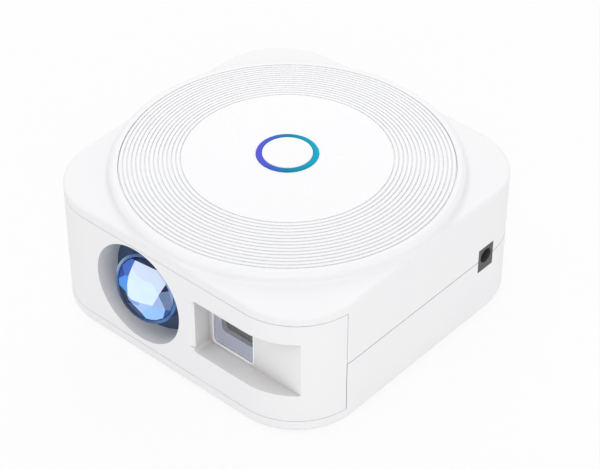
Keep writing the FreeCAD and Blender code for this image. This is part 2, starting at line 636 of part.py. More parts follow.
def make_lower_shell():
    body = new_body("lower_shell")
    block = shell_block(body, size.foot_stand, size.parting_height - size.foot_stand)
    base = size.foot_stand.number
    rim = edges_where(block, lambda edge: abs(edge.BoundBox.ZMax - base) < 1e-4)
    soften(body, block, "Fillet", rim, size.base_round)
    cavity = new_sketch(body, "cavity", lift=floor_top)
    draw_rounded(cavity, -inner_half, inner_half, -inner_half, inner_half, inner_corner)
    pocket(body, cavity, size.parting_height, forward=True)
    rebate = new_sketch(body, "rebate", lift=size.parting_height - size.lip_height - size.fit_gap)
    reach = inner_half + size.lip_thick + size.fit_gap
    draw_rounded(rebate, -reach, reach, -reach, reach, inner_corner + size.lip_thick + size.fit_gap)
    pocket(body, rebate, size.parting_height, forward=True)
    shadow = new_sketch(body, "shadow", lift=size.parting_height - size.seam_gap)
    reach = half - size.seam_depth
    outside = half + size.cut_over
    draw_box(shadow, -outside, outside, -outside, outside)
    draw_rounded(shadow, -reach, reach, -reach, reach, size.corner_radius - size.seam_depth)
    pocket(body, shadow, size.parting_height, forward=True)
    cut_plate_gap(body, size.plate_bottom, size.rim_height)
    posts = new_sketch(body, "posts", lift=floor_top)
    for x, y in shell_posts:
        draw_circle(posts, x, y, size.post_radius)
    pad(body, posts, size.parting_height - floor_top)
    standoffs = new_sketch(body, "standoffs", lift=floor_top)
    for x, y in board_spots:
        draw_circle(standoffs, x, y, size.standoff_radius)
    pad(body, standoffs, size.board_height - floor_top)
    risers = new_sketch(body, "risers", lift=floor_top)
    for x, y in power_spots:
        draw_circle(risers, x, y, size.standoff_radius)
    pad(body, risers, power_top - size.board_thick - floor_top)
    bosses = new_sketch(body, "bosses", lift=floor_top)
    for x, y in bracket_spots:
        draw_circle(bosses, x, y, size.standoff_radius)
    pad(body, bosses, size.boss_rise)
    passages = new_sketch(body, "passages", lift=ZERO)
    for x, y in shell_posts:
        draw_circle(passages, x, y, size.screw_radius + size.screw_clearance)
    pocket(body, passages, size.rim_height, forward=True)
    heads = new_sketch(body, "heads", lift=size.foot_stand + size.head_recess)
    for x, y in shell_posts:
        draw_circle(heads, x, y, size.screw_head_radius + size.screw_clearance)
    pocket(body, heads, size.head_recess + size.cut_over)
    pilots = new_sketch(body, "pilots", lift=floor_top)
    for x, y in board_spots + power_spots + bracket_spots:
        draw_circle(pilots, x, y, size.small_screw + size.small_gap)
    pocket(body, pilots, size.rim_height, forward=True)
    seats = new_sketch(body, "seats", lift=size.foot_stand + size.foot_set)
    for x, y in foot_spots:
        draw_circle(seats, x, y, size.foot_radius + size.fit_gap)
    pocket(body, seats, size.foot_set + size.cut_over)
    slot = new_sketch(body, "slot", lift=ZERO)
    first = -size.vent_pitch * (size.vent_count - 1) / 2
    draw_rounded(
        slot, first - size.vent_width / 2, first + size.vent_width / 2,
        -size.vent_length / 2, size.vent_length / 2, size.vent_width * slot_round_share,
    )
    cut = pocket(body, slot, floor_top + size.cut_over, forward=True)
    before = cut.Shape.Volume
    row = body.newObject("PartDesign::LinearPattern", "vent_row")
    row.Originals = [cut]
    row.Direction = (slot, ["H_Axis"])
    bind(row, "Length", size.vent_pitch * (size.vent_count - 1))
    bind(row, "Occurrences", size.vent_count)
    body.Tip = row
    finish_step(body, row, before, False)
    cut_jack_hole(body)
    return body


def trim_to_case(body, name):
    """Cut away what lies outside the rounded square of the case."""
    outside = new_sketch(body, name, lift=ZERO)
    reach = size.profile_reach + size.cut_over
    draw_box(outside, -reach, reach, -reach, reach)
    draw_rounded(outside, -half, half, -half, half, size.corner_radius)
    return pocket(body, outside, dome_top, forward=True)


def make_upper_shell():
    body = new_body("upper_shell")
    foot_height = size.rim_height - size.shoulder_step
    foot_radius = shoulder_radius + size.cove_radius
    rise = size.corner_fall * foot_radius / (size.profile_reach - foot_radius)
    tops = new_sketch(body, "tops", "XZ_Plane")
    draw_outline(tops, [
        (ZERO, size.parting_height),
        (size.profile_reach, size.parting_height),
        (size.profile_reach, corner_top),
        (ZERO, foot_height + rise),
    ])
    turned(body, tops)
    block = trim_to_case(body, "outside")
    rim = edges_where(block, lambda edge: edge.BoundBox.ZMin > size.parting_height.number + 1)
    soften(body, block, "Fillet", rim, size.edge_round)
    shoulder = new_sketch(body, "shoulder", "XZ_Plane")
    draw_outline(shoulder, [
        (ZERO, size.parting_height),
        (foot_radius, size.parting_height),
        (foot_radius, foot_height),
        (shoulder_radius, foot_height + size.cove_radius, size.cove_radius, False),
        (shoulder_radius, size.rim_height - size.shoulder_round),
        (shoulder_radius - size.shoulder_round, size.rim_height, size.shoulder_round, True),
        (rim_inside, size.rim_height),
        (rim_inside, deck_top),
        (ZERO, deck_top),
    ])
    turned(body, shoulder)
    trim_to_case(body, "overhang")
    well_floor = new_sketch(body, "disc_bed", lift=deck_top)
    draw_circle(well_floor, ZERO, ZERO, rim_inside)
    pocket(body, well_floor, size.rim_height, forward=True)
    cavity = new_sketch(body, "cavity", lift=corner_under)
    draw_rounded(cavity, -inner_half, inner_half, -inner_half, inner_half, inner_corner)
    pocket(body, cavity, size.rim_height)
    well = new_sketch(body, "well", lift=deck_under)
    draw_circle(well, ZERO, ZERO, size.disc_radius - size.wall)
    pocket(body, well, size.rim_height)
    lip = new_sketch(body, "lip", lift=size.parting_height - size.lip_height)
    reach = inner_half + size.lip_thick
    draw_rounded(lip, -reach, reach, -reach, reach, inner_corner + size.lip_thick)
    draw_rounded(lip, -inner_half, inner_half, -inner_half, inner_half, inner_corner)
    pad(body, lip, size.lip_height)
    cut_plate_gap(body, ZERO, size.plate_top)
    posts = new_sketch(body, "posts", lift=size.parting_height)
    for x, y in shell_posts:
        draw_circle(posts, x, y, size.post_radius)
    pad(body, posts, corner_under + size.wall / 2 - size.parting_height)
    pilots = new_sketch(body, "pilots", lift=size.parting_height)
    for x, y in shell_posts:
        draw_circle(pilots, x, y, size.screw_radius + size.small_gap)
    pocket(body, pilots, (corner_under - size.parting_height) * pilot_share, forward=True)
    opening = new_sketch(body, "opening", lift=deck_under - size.cut_over)
    draw_circle(opening, ZERO, ZERO, size.opening_radius)
    for x, y in key_screw_spots():
        draw_circle(opening, x, y, size.small_screw + size.small_gap)
    pocket(body, opening, size.deck_thick + size.cut_over * 2, forward=True)
    cut_jack_hole(body)
    return body


def key_screw_spots():
    spots = []
    for degrees in (90, 210, 330):
        angle = as_size(degrees)
        spots.append((size.key_screw_place * cosine(angle), size.key_screw_place * sine(angle)))
    return spots


def make_faceplate():
    body = new_body("faceplate")
    low = size.plate_bottom + size.fit_gap
    high = size.plate_top - size.seam_gap
    band = new_sketch(body, "band", lift=low)
    draw_rounded(band, -half, half, -half, half, size.corner_radius)
    draw_rounded(band, -inner_half, inner_half, -inner_half, inner_half, inner_corner)
    pad(body, band, high - low)
    rear = new_sketch(body, "rear", "XZ_Plane", size.plate_rear + size.seam_gap)
    reach = half + size.cut_over
    draw_box(rear, -reach, reach, ZERO, size.rim_height)
    pocket(body, rear, size.body_width)
    box = new_sketch(body, "box", "XZ_Plane", -recess_rear)
    draw_box(
        box, size.recess_left - size.recess_wall, half,
        size.recess_low - size.recess_wall, size.recess_high + size.recess_wall,
    )
    pad(body, box, recess_rear - plate_inner + size.wall / 2)
    outside = new_sketch(body, "outside", lift=ZERO)
    draw_box(outside, -half * 2, half * 2, -half * 2, half * 2)
    draw_rounded(outside, -half, half, -half, half, size.corner_radius)
    pocket(body, outside, size.rim_height, forward=True)
    slant = sine(size.lens_tilt) + sine(size.lens_turn)
    depth = size.lens_inset + size.flange_set + (size.bore_radius + size.collar_thick) * slant
    collar = new_sketch(body, "collar", "XZ_Plane", inner_half - depth)
    draw_circle(collar, size.bore_x, size.bore_height, size.bore_radius + size.collar_thick)
    pad(body, collar, depth)
    lugs = new_sketch(body, "lugs", frame=LENS, lift=flange_front)
    for x, y in lug_spots:
        draw_circle(lugs, x, y, size.lug_radius)
    pad(body, lugs, size.lug_length)
    behind = new_sketch(body, "behind", frame=LENS, lift=flange_front)
    draw_circle(behind, ZERO, ZERO, size.flange_radius + size.lug_radius)
    pocket(body, behind, depth + size.flange_radius)
    bore = new_sketch(body, "bore", "XZ_Plane", ZERO)
    draw_circle(bore, size.bore_x, size.bore_height, size.bore_radius)
    pocket(body, bore, size.body_width, forward=True)
    lug_holes = new_sketch(body, "lug_holes", frame=LENS, lift=flange_front)
    for x, y in lug_spots:
        draw_circle(lug_holes, x, y, size.small_screw + size.small_gap)
    pocket(body, lug_holes, size.plate_screw, forward=True)
    recess = new_sketch(body, "recess", "XZ_Plane", -recess_back)
    draw_rounded(
        recess, size.recess_left, size.recess_right, size.recess_low, size.recess_high, size.recess_round
    )
    pocket(body, recess, half, forward=True)
    bevel_recess(body)
    window = new_sketch(body, "window", "XZ_Plane", -recess_rear)
    draw_rounded(
        window, size.glass_left - size.glass_gap, size.glass_left + size.glass_width + size.glass_gap,
        size.glass_low - size.glass_gap, size.glass_low + size.glass_height + size.glass_gap,
        size.glass_round + size.glass_gap,
    )
    pocket(body, window, size.recess_wall + size.recess_depth, forward=True)
    add_snap_tabs(body)
    return body


def bevel_recess(body):
    """A shallow bevel along the left edge of the recess."""
    bevel = new_sketch(body, "bevel", lift=size.recess_low + size.recess_round)
    draw_outline(bevel, [
        (size.recess_left - size.bevel_width, -half),
        (size.recess_left - size.bevel_width, -half - size.cut_over),
        (size.recess_left + size.recess_round, -half - size.cut_over),
        (size.recess_left + size.recess_round, size.bevel_depth - half),
        (size.recess_left, size.bevel_depth - half),
    ])
    pocket(body, bevel, size.recess_high - size.recess_low - size.recess_round * 2, forward=True)


def add_snap_tabs(body):
    """Tabs that reach behind the shells' rims, two below and two above."""
    far_tab = size.recess_left + size.tab_width * far_tab_share
    near_tab = size.recess_left + size.tab_width / 2
    reach = size.tab_reach
    rows = (
        ("low_tabs", (size.bore_x, far_tab), size.plate_bottom - reach, size.plate_bottom + reach),
        ("high_tabs", (near_tab, far_tab), size.plate_top - reach, corner_under - size.fit_gap),
    )
    for name, middles, low, high in rows:
        tabs = new_sketch(body, name, "XZ_Plane", inner_half - size.tab_thick)
        for middle in middles:
            draw_box(tabs, middle - size.tab_width / 2, middle + size.tab_width / 2, low, high)
        pad(body, tabs, size.tab_thick)


def dome_height(radius):
    return dome_top - dome_radius + root(dome_radius * dome_radius - radius * radius)


def turned_body(label, steps, frame=None):
    """A piece that is round about its own upright axis, from half of its section."""
    body = new_body(label)
    sketch = new_sketch(body, "section", "XZ_Plane")
    draw_outline(sketch, steps)
    turned(body, sketch)
    if frame is not None:
        body.Placement = frame
    return body


def shifted(frame, x, y):
    return frame.multiply(FreeCAD.Placement(FreeCAD.Vector(x.number, y.number, 0), FreeCAD.Rotation()))


def make_top_disc():
    hole = size.light_radius + size.fit_gap
    skin = size.disc_edge
    outer_seat = size.disc_radius - size.disc_seat
    inner_seat = hole + size.disc_seat
    edge = rim_inside - size.fit_gap
    edge_top = size.rim_height - size.groove_depth
    body = turned_body("top_disc", [
        (hole, deck_top),
        (inner_seat, deck_top),
        (inner_seat, dome_height(inner_seat) - skin),
        (outer_seat, dome_height(outer_seat) - skin, dome_radius - skin, False),
        (outer_seat, deck_top),
        (edge, deck_top),
        (edge, edge_top),
        (size.disc_radius, edge_top),
        (size.disc_radius, size.rim_height),
        (hole, dome_height(hole), dome_radius, True),
    ])
    rings = new_sketch(body, "rings", "XZ_Plane")
    outermost = size.disc_radius + size.disc_gap / 2
    for step in range(int(size.groove_count.number)):
        middle = outermost - size.groove_pitch * (step + 1)
        top = dome_height(middle)
        side = size.groove_width / 2
        draw_box(rings, middle - side, middle + side, top - size.groove_depth, top + size.groove_depth)
    turned(body, rings, cuts=True)
    return body


def make_light_ring():
    key_hole = size.key_radius + size.key_gap
    shelf_hole = size.key_radius + size.key_flange + size.key_gap
    top = dome_top + size.light_rise
    edge = size.soft_edge
    return turned_body("light_ring", [
        (shelf_hole, deck_under),
        (channel_inside, deck_under),
        (channel_inside, deck_under + size.led_groove),
        (channel_inside + size.led_groove_width, deck_under + size.led_groove),
        (channel_inside + size.led_groove_width, deck_under),
        (ring_flange, deck_under),
        (ring_flange, deck_top),
        (size.light_radius, deck_top),
        (size.light_radius, top - edge),
        (size.light_radius - edge, top, edge, True),
        (key_hole + edge, top),
        (key_hole, top - edge, edge, True),
        (key_hole, size.ring_shelf),
        (shelf_hole, size.ring_shelf),
    ])


def make_power_key():
    top = dome_top + size.key_rise
    under = top - size.key_thick
    inside = size.key_radius - size.key_wall
    flange_top = size.ring_shelf - size.key_stop_gap
    flange_under = flange_top - size.key_flange_thick
    edge = size.soft_edge
    return turned_body("power_key", [
        (ZERO, plunger_top),
        (size.stem_radius, plunger_top),
        (size.stem_radius, under),
        (inside, under),
        (inside, flange_under),
        (size.key_radius + size.key_flange, flange_under),
        (size.key_radius + size.key_flange, flange_top),
        (size.key_radius, flange_top),
        (size.key_radius, top - edge),
        (size.key_radius - edge, top, edge, True),
        (ZERO, top),
    ])


def make_switch_plunger():
    return turned_body("switch_plunger", [
        (ZERO, plunger_foot),
        (size.plunger_radius, plunger_foot),
        (size.plunger_radius, plunger_top),
        (ZERO, plunger_top),
    ])


def make_tact_switch():
    body = new_body("tact_switch")
    case = new_sketch(body, "case", lift=deck_under)
    side = size.switch_side / 2
    draw_box(case, -side, side, -side, side)
    pad(body, case, size.switch_rise)
    hole = new_sketch(body, "hole", lift=plunger_foot - size.key_travel - size.side_gap)
    draw_circle(hole, ZERO, ZERO, size.plunger_radius + size.run_gap)
    pocket(body, hole, size.switch_rise, forward=True)
    return body


def drilled_disc(label, frame, low, thick, radius, spots, hole):
    body = new_body(label)
    sketch = new_sketch(body, "disc", lift=low)
    draw_circle(sketch, ZERO, ZERO, radius)
    for x, y in spots:
        draw_circle(sketch, x, y, hole)
    pad(body, sketch, thick)
    body.Placement = frame
    return body


def make_key_board():
    hole = size.small_screw + size.screw_clearance
    return drilled_disc(
        "key_board", HERE, deck_under - size.board_thick, size.board_thick,
        size.key_board_radius, key_screw_spots(), hole,
    )


def polar_row(body, feature, count, name):
    before = feature.Shape.Volume
    row = body.newObject("PartDesign::PolarPattern", name)
    row.Originals = [feature]
    row.Axis = (feature.Profile[0], ["N_Axis"])
    row.Angle = 360
    bind(row, "Occurrences", count)
    body.Tip = row
    return finish_step(body, row, before, True)


def make_ring_lamps():
    body = new_body("ring_lamps")
    body.AllowCompound = True
    lamp = new_sketch(body, "lamp", lift=deck_under)
    middle = channel_inside + size.led_groove_width / 2
    draw_box(
        lamp, middle - size.led_width / 2, middle + size.led_width / 2,
        -size.led_length / 2, size.led_length / 2,
    )
    first = pad(body, lamp, size.led_rise)
    polar_row(body, first, size.led_count, "lamp_row")
    return body


def screw_group(label, frame, spots, seat, points_up, kind, length):
    """Screws with their head on the seat height, in one group. Kind is thread, head and head height."""
    thread, head, rise = kind
    body = new_body(label)
    body.AllowCompound = True
    shanks = new_sketch(body, "shanks", lift=seat)
    heads = new_sketch(body, "heads", lift=seat)
    outer = seat - rise if points_up else seat + rise
    drives = new_sketch(body, "drives", lift=outer)
    for x, y in spots:
        draw_circle(shanks, x, y, thread)
        draw_circle(heads, x, y, head)
        draw_hexagon(drives, x, y, head * drive_share)
    pad(body, shanks, length, back=not points_up)
    pad(body, heads, rise, back=points_up)
    pocket(body, drives, rise * drive_share, forward=points_up)
    body.Placement = frame
    return body


def draw_hexagon(sketch, x, y, reach):
    corners = []
    for step in range(6):
        angle = as_size(step * 60)
        corners.append((x + reach * cosine(angle), y + reach * sine(angle)))
    draw_outline(sketch, corners)


def make_lens_ring():
    edge = size.soft_edge
    return turned_body("lens_ring", [
        (size.ring_bore, -size.ring_depth),
        (size.ring_radius, -size.ring_depth),
        (size.ring_radius, -edge),
        (size.ring_radius - edge, ZERO, edge, True),
        (size.ring_bore + edge, ZERO),
        (size.ring_bore, -edge, edge, True),
    ], LENS)


def make_faceted_lens():
    """A cut block of clear blue plastic: one large flat facet, small ones round it, and a flat back."""
    radius = size.lens_radius.number
    edge_place = -size.lens_girdle.number
    rise = size.lens_table.number - edge_place
    corners = {
        name: FreeCAD.Vector(across * radius, up * radius, edge_place + rise * share)
        for name, (across, up, share) in CORNER_SHARES.items()
    }
    for name, turn in zip(string.ascii_uppercase, EDGE_SHARES):
        angle = math.tau * turn
        corners[name] = FreeCAD.Vector(radius * math.cos(angle), radius * math.sin(angle), edge_place)
    edge = [corners[name] for name in string.ascii_uppercase]
    back = [FreeCAD.Vector(point.x, point.y, -size.lens_back.number) for point in edge]
    faces = [[corners[name] for name in FACETS[0]], back[::-1]]
    for facet in FACETS[1:]:
        fan = [corners[name] for name in facet]
        faces += [[fan[0], fan[step], fan[step + 1]] for step in range(1, len(fan) - 1)]
    for step, point in enumerate(edge):
        faces.append([edge[step - 1], back[step - 1], back[step], point])
    shell = Part.Shell([Part.Face(Part.makePolygon(face + [face[0]])) for face in faces])
    lens = doc.addObject("Part::Feature", "faceted_lens")
    lens.Label = "faceted_lens"
    lens.Shape = Part.Solid(shell)
    lens.Placement = LENS
    return lens


def make_lens_holder():
    seat = size.lens_radius + size.run_gap
    body = turned_body("lens_holder", [
        (size.throat_radius, flange_rear),
        (size.flange_radius, flange_rear),
        (size.flange_radius, flange_front),
        (size.ring_radius, flange_front),
        (size.ring_radius, -size.ring_depth),
        (seat, -size.ring_depth),
        (seat, -size.lens_back),
        (size.throat_radius, -size.lens_back),
    ], LENS)
    ears = new_sketch(body, "ears", lift=flange_rear)
    for x, y in lug_spots:
        draw_circle(ears, x, y, size.lug_radius)
    pad(body, ears, size.flange_thick)
    passages = new_sketch(body, "passages", lift=flange_rear)
    sinks = new_sketch(body, "sinks", lift=flange_rear + size.small_head_height)
    for x, y in lug_spots:
        draw_circle(passages, x, y, size.small_screw + size.screw_clearance)
        draw_circle(sinks, x, y, size.small_head + size.small_gap)
    pocket(body, passages, size.flange_thick, forward=True)
    pocket(body, sinks, size.small_head_height)
    blind = new_sketch(body, "blind", lift=flange_rear)
    draw_circle(blind, -size.wheel_offset, ZERO, size.axle_radius + size.run_gap)
    for x, y in cage_spots:
        draw_circle(blind, x, y, size.small_screw + size.small_gap)
    pocket(body, blind, size.flange_thick * blind_share, forward=True)
    return body


def gear_disc(body, low, thick, pitch_radius, turn_share, teeth):
    """A spur gear: a root disc and one tooth, repeated round the body's own axis."""
    root_disc = new_sketch(body, "root", lift=low)
    inner = pitch_radius - size.tooth_drop
    draw_circle(root_disc, ZERO, ZERO, inner)
    pad(body, root_disc, thick)
    tooth = new_sketch(body, "tooth", lift=low)
    tooth.AttachmentOffset = FreeCAD.Placement(
        FreeCAD.Vector(), FreeCAD.Rotation(upright(1), 360 * turn_share / teeth.number)
    )
    bind(tooth, "AttachmentOffset.Base.z", low)
    tip = pitch_radius + size.tooth_rise
    base = size.tooth_half + size.tooth_taper
    draw_outline(tooth, [
        (inner - size.tooth_drop, -base),
        (inner, -base),
        (tip, size.tooth_taper - size.tooth_half),
        (tip, size.tooth_half - size.tooth_taper),
        (inner, base),
        (inner - size.tooth_drop, base),
    ])
    first = pad(body, tooth, thick)
    polar_row(body, first, teeth, body.Name + "_teeth")


def make_ripple_wheel():
    body = new_body("ripple_wheel")
    gear_disc(body, wheel_middle - size.wheel_thick / 2, size.wheel_thick, wheel_pitch, 0, size.wheel_teeth)
    hub = new_sketch(body, "hub", lift=hub_rear)
    draw_circle(hub, ZERO, ZERO, size.hub_radius)
    pad(body, hub, size.hub_length)
    bore = new_sketch(body, "bore", lift=hub_rear)
    draw_circle(bore, ZERO, ZERO, size.axle_radius + size.run_gap)
    pocket(body, bore, size.hub_length, forward=True)
    body.Placement = shifted(LENS, -size.wheel_offset, ZERO)
    return body


def rod(label, frame, radius, low, high):
    return turned_body(label, [(ZERO, low), (radius, low), (radius, high), (ZERO, high)], frame)


def make_gear_plate():
    body = new_body("gear_plate")
    plate = new_sketch(body, "plate", lift=cage_rear)
    draw_circle(plate, ZERO, ZERO, size.cage_radius)
    pad(body, plate, size.cage_thick)
    lobe = new_sketch(body, "lobe", lift=cage_rear)
    draw_circle(lobe, pinion_x, pinion_y, size.cage_lobe)
    pad(body, lobe, size.cage_thick)
    sleeve = new_sketch(body, "sleeve", lift=cage_rear)
    draw_circle(sleeve, pinion_x, pinion_y, sleeve_bore + size.sleeve_wall)
    pad(body, sleeve, size.sleeve_length, back=True)
    socket = new_sketch(body, "socket", lift=cage_rear)
    draw_circle(socket, pinion_x, pinion_y, sleeve_bore)
    pocket(body, socket, size.sleeve_length)
    posts = new_sketch(body, "posts", lift=cage_rear)
    for x, y in cage_spots:
        draw_circle(posts, x, y, size.cage_post)
    pad(body, posts, flange_rear - cage_rear)
    holes = new_sketch(body, "holes", lift=cage_rear)
    draw_circle(holes, ZERO, ZERO, tube_bore)
    draw_circle(holes, pinion_x, pinion_y, size.shaft_radius + size.shaft_gap)
    draw_circle(holes, -size.wheel_offset, ZERO, size.axle_radius + size.run_gap)
    for x, y in cage_spots + front_ears:
        draw_circle(holes, x, y, size.small_screw + size.small_gap)
    pocket(body, holes, size.rim_height, forward=True)
    body.Placement = LENS
    return body


def make_drive_pinion():
    body = new_body("drive_pinion")
    low = wheel_middle - size.pinion_thick / 2
    gear_disc(body, low, size.pinion_thick, pinion_pitch, half_turn_share, size.pinion_teeth)
    bore = new_sketch(body, "bore", lift=low)
    draw_circle(bore, ZERO, ZERO, size.shaft_radius)
    pocket(body, bore, size.pinion_thick, forward=True)
    body.Placement = shifted(LENS, pinion_x, pinion_y)
    return body


def make_motor(label, frame, front):
    """A small can motor: front face, round can, tail boss, and the socket its shaft turns in."""
    rear = front - size.motor_length
    tail = rear - size.motor_tail
    hole = size.shaft_radius + size.run_gap
    deep = front - size.motor_socket - size.side_gap
    return turned_body(label, [
        (ZERO, tail),
        (size.hub_radius, tail),
        (size.hub_radius, rear),
        (size.motor_radius, rear),
        (size.motor_radius, front),
        (hole, front),
        (hole, deep),
        (ZERO, deep),
    ], frame)


def make_light_tube():
    front = cage_rear
    ledge = front - size.condenser_set - size.condenser_edge
    inside = tube_bore - size.condenser_ledge
    body = turned_body("light_tube", [
        (inside, tube_rear),
        (size.tube_radius, tube_rear),
        (size.tube_radius, front - size.tube_flange_thick),
        (size.tube_flange, front - size.tube_flange_thick),
        (size.tube_flange, front),
        (tube_bore, front),
        (tube_bore, ledge),
        (inside, ledge),
    ], LENS)
    for name, spots, low, thick in (
        ("ears", ear_spots, tube_rear, size.ear_thick),
        ("front_ears", front_ears, front - size.tube_flange_thick, size.tube_flange_thick),
    ):
        ears = new_sketch(body, name, lift=low)
        holes = new_sketch(body, name + "_holes", lift=low)
        for x, y in spots:
            draw_circle(ears, x, y, size.ear_radius)
            draw_circle(holes, x, y, size.small_screw + size.screw_clearance)
        pad(body, ears, thick)
        pocket(body, holes, thick, forward=True)
    return body


def make_condenser():
    rear = cage_rear - size.condenser_set - size.condenser_edge
    front = rear + size.condenser_edge
    radius = tube_bore - size.run_gap
    bulge = (radius * radius + size.condenser_rise * size.condenser_rise) / (size.condenser_rise * 2)
    return turned_body("condenser_lens", [
        (ZERO, rear),
        (radius, rear),
        (radius, front),
        (ZERO, front + size.condenser_rise, bulge, True),
    ], LENS)


def make_emitters():
    body = new_body("emitters")
    body.AllowCompound = True
    chips = new_sketch(body, "chips", lift=tube_rear)
    side = size.emitter_side / 2
    for x_side in (-1, 1):
        for y_side in (-1, 1):
            x = size.emitter_place * x_side
            y = size.emitter_place * y_side
            draw_box(chips, x - side, x + side, y - side, y + side)
    pad(body, chips, size.emitter_rise)
    body.Placement = LENS
    return body


def make_heat_sink():
    body = new_body("heat_sink")
    side = size.sink_side / 2
    base = new_sketch(body, "base", lift=lamp_rear)
    draw_box(base, -side, side, -side, side)
    pad(body, base, size.sink_base, back=True)
    fins = new_sketch(body, "fins", lift=lamp_rear - size.sink_base)
    step = (size.sink_side - size.fin_thick) / (size.fin_count - 1)
    for index in range(int(size.fin_count.number)):
        left = step * index - side
        draw_box(fins, left, left + size.fin_thick, -side, side)
    pad(body, fins, size.fin_length, back=True)
    holes = new_sketch(body, "holes", lift=lamp_rear)
    for x, y in ear_spots:
        draw_circle(holes, x, y, size.small_screw + size.small_gap)
    pocket(body, holes, size.sink_base * blind_share)
    body.Placement = LENS
    return body


def make_window_glass():
    body = new_body("window_glass")
    pane = new_sketch(body, "pane", "XZ_Plane", -recess_rear)
    draw_rounded(
        pane, size.glass_left, size.glass_left + size.glass_width,
        size.glass_low, size.glass_low + size.glass_height, size.glass_round,
    )
    pad(body, pane, size.recess_wall - size.glass_set)
    return body


def make_window_frame():
    body = new_body("window_frame")
    plate = new_sketch(body, "plate", "XZ_Plane", -bezel_rear)
    margin = size.bezel_margin
    draw_rounded(
        plate, size.glass_left - margin, size.glass_left + size.glass_width + margin,
        size.glass_low - margin, size.glass_low + size.glass_height + margin, size.glass_round + margin,
    )
    draw_rounded(
        plate, size.aperture_left, size.aperture_left + size.aperture_width,
        size.aperture_low, size.aperture_low + size.aperture_height, size.aperture_round,
    )
    pad(body, plate, size.bezel_thick)
    return body


def star_frame(x):
    """Z looks out of the window along -Y, from the height of the beam."""
    return FreeCAD.Placement(
        FreeCAD.Vector(x.number, 0, beam_z.number), FreeCAD.Rotation(FreeCAD.Vector(1, 0, 0), 90)
    )


def make_grating_wheel():
    front = -grating_front
    rear = front - size.grating_thick
    hub_low = -grating_hub_rear
    hub_high = hub_low + size.grating_hub_length
    return turned_body("grating_wheel", [
        (size.shaft_radius, hub_low),
        (size.grating_hub, hub_low),
        (size.grating_hub, rear),
        (size.grating_radius, rear),
        (size.grating_radius, front),
        (size.grating_hub, front),
        (size.grating_hub, hub_high),
        (size.shaft_radius, hub_high),
    ], star_frame(star_shaft_x))


def make_star_bracket():
    body = new_body("star_bracket")
    plate = new_sketch(body, "plate", "XZ_Plane", -bracket_rear)
    draw_box(plate, bracket_left, bracket_right, bracket_base, beam_z + size.bracket_rise)
    pad(body, plate, size.bracket_thick)
    foot = new_sketch(body, "foot", lift=bracket_base)
    draw_box(foot, bracket_left, bracket_right, bracket_front, bracket_rear + size.bracket_foot)
    pad(body, foot, size.bracket_thick)
    bores = ((beam_x, size.laser_radius + size.fit_gap), (star_shaft_x, sleeve_bore))
    sleeves = new_sketch(body, "laser_sleeve", "XZ_Plane", -bracket_rear)
    draw_circle(sleeves, beam_x, beam_z, bores[0][1] + size.sleeve_wall)
    pad(body, sleeves, size.sleeve_length, back=True)
    sleeves = new_sketch(body, "motor_sleeve", "XZ_Plane", -bracket_rear)
    draw_circle(sleeves, star_shaft_x, beam_z, bores[1][1] + size.sleeve_wall)
    pad(body, sleeves, size.sleeve_length, back=True)
    sockets = new_sketch(body, "sockets", "XZ_Plane", -bracket_rear)
    for x, radius in bores:
        draw_circle(sockets, x, beam_z, radius)
    pocket(body, sockets, size.sleeve_length)
    holes = new_sketch(body, "holes", "XZ_Plane", -bracket_rear)
    draw_circle(holes, beam_x, beam_z, bores[0][1])
    draw_circle(holes, star_shaft_x, beam_z, size.shaft_radius + size.shaft_gap)
    pocket(body, holes, size.bracket_thick, forward=True)
    screws = new_sketch(body, "screws", lift=bracket_base)
    for x, y in bracket_spots:
        draw_circle(screws, x, y, size.small_screw + size.screw_clearance)
    pocket(body, screws, size.bracket_thick, forward=True)
    return body


def make_laser_barrel():
    front = size.laser_lead - bracket_front
    rear = front - size.laser_length
    return turned_body("laser_barrel", [
        (ZERO, rear),
        (size.laser_radius, rear),
        (size.laser_radius, front),
        (size.laser_mouth, front),
        (size.laser_mouth, front - size.laser_mouth_depth),
        (ZERO, front - size.laser_mouth_depth),
    ], star_frame(beam_x))


def board(label, left, right, front, rear, low, spots):
    body = new_body(label)
    sketch = new_sketch(body, "outline", lift=low)
    draw_box(sketch, left, right, front, rear)
    for x, y in spots:
        draw_circle(sketch, x, y, size.small_screw + size.screw_clearance)
    pad(body, sketch, size.board_thick)
    return body


def board_parts(label, left, front, length, depth, low, shares):
    """Chips, sockets and round capacitors soldered on a board, placed by shares of the board."""
    body = new_body(label)
    body.AllowCompound = True
    for index, (x_share, y_share, long_share, wide_share, rise_share) in enumerate(shares):
        sketch = new_sketch(body, "part_%d" % index, lift=low)
        x = left + length * x_share
        y = front + depth * y_share
        if wide_share:
            side_x = length * long_share / 2
            side_y = depth * wide_share / 2
            draw_box(sketch, x - side_x, x + side_x, y - side_y, y + side_y)
        else:
            draw_circle(sketch, x, y, length * long_share)
        pad(body, sketch, depth * rise_share)
    return body


def make_dc_jack():
    body = new_body("dc_jack")
    case = new_sketch(body, "case", "YZ_Plane", half)
    side = size.jack_width / 2
    draw_box(case, size.jack_y - side, size.jack_y + side, jack_low, jack_low + size.jack_height)
    pad(body, case, size.jack_depth, back=True)
    hole = new_sketch(body, "hole", "YZ_Plane", half)
    draw_circle(hole, size.jack_y, size.jack_z + size.jack_hole_lift, size.jack_hole)
    pocket(body, hole, size.jack_hole_depth)
    return body


def make_jack_pin():
    body = new_body("jack_pin")
    pin = new_sketch(body, "pin", "YZ_Plane", half - size.jack_hole_depth)
    draw_circle(pin, size.jack_y, size.jack_z + size.jack_hole_lift, size.pin_radius)
    pad(body, pin, size.jack_hole_depth - size.pin_short)
    return body


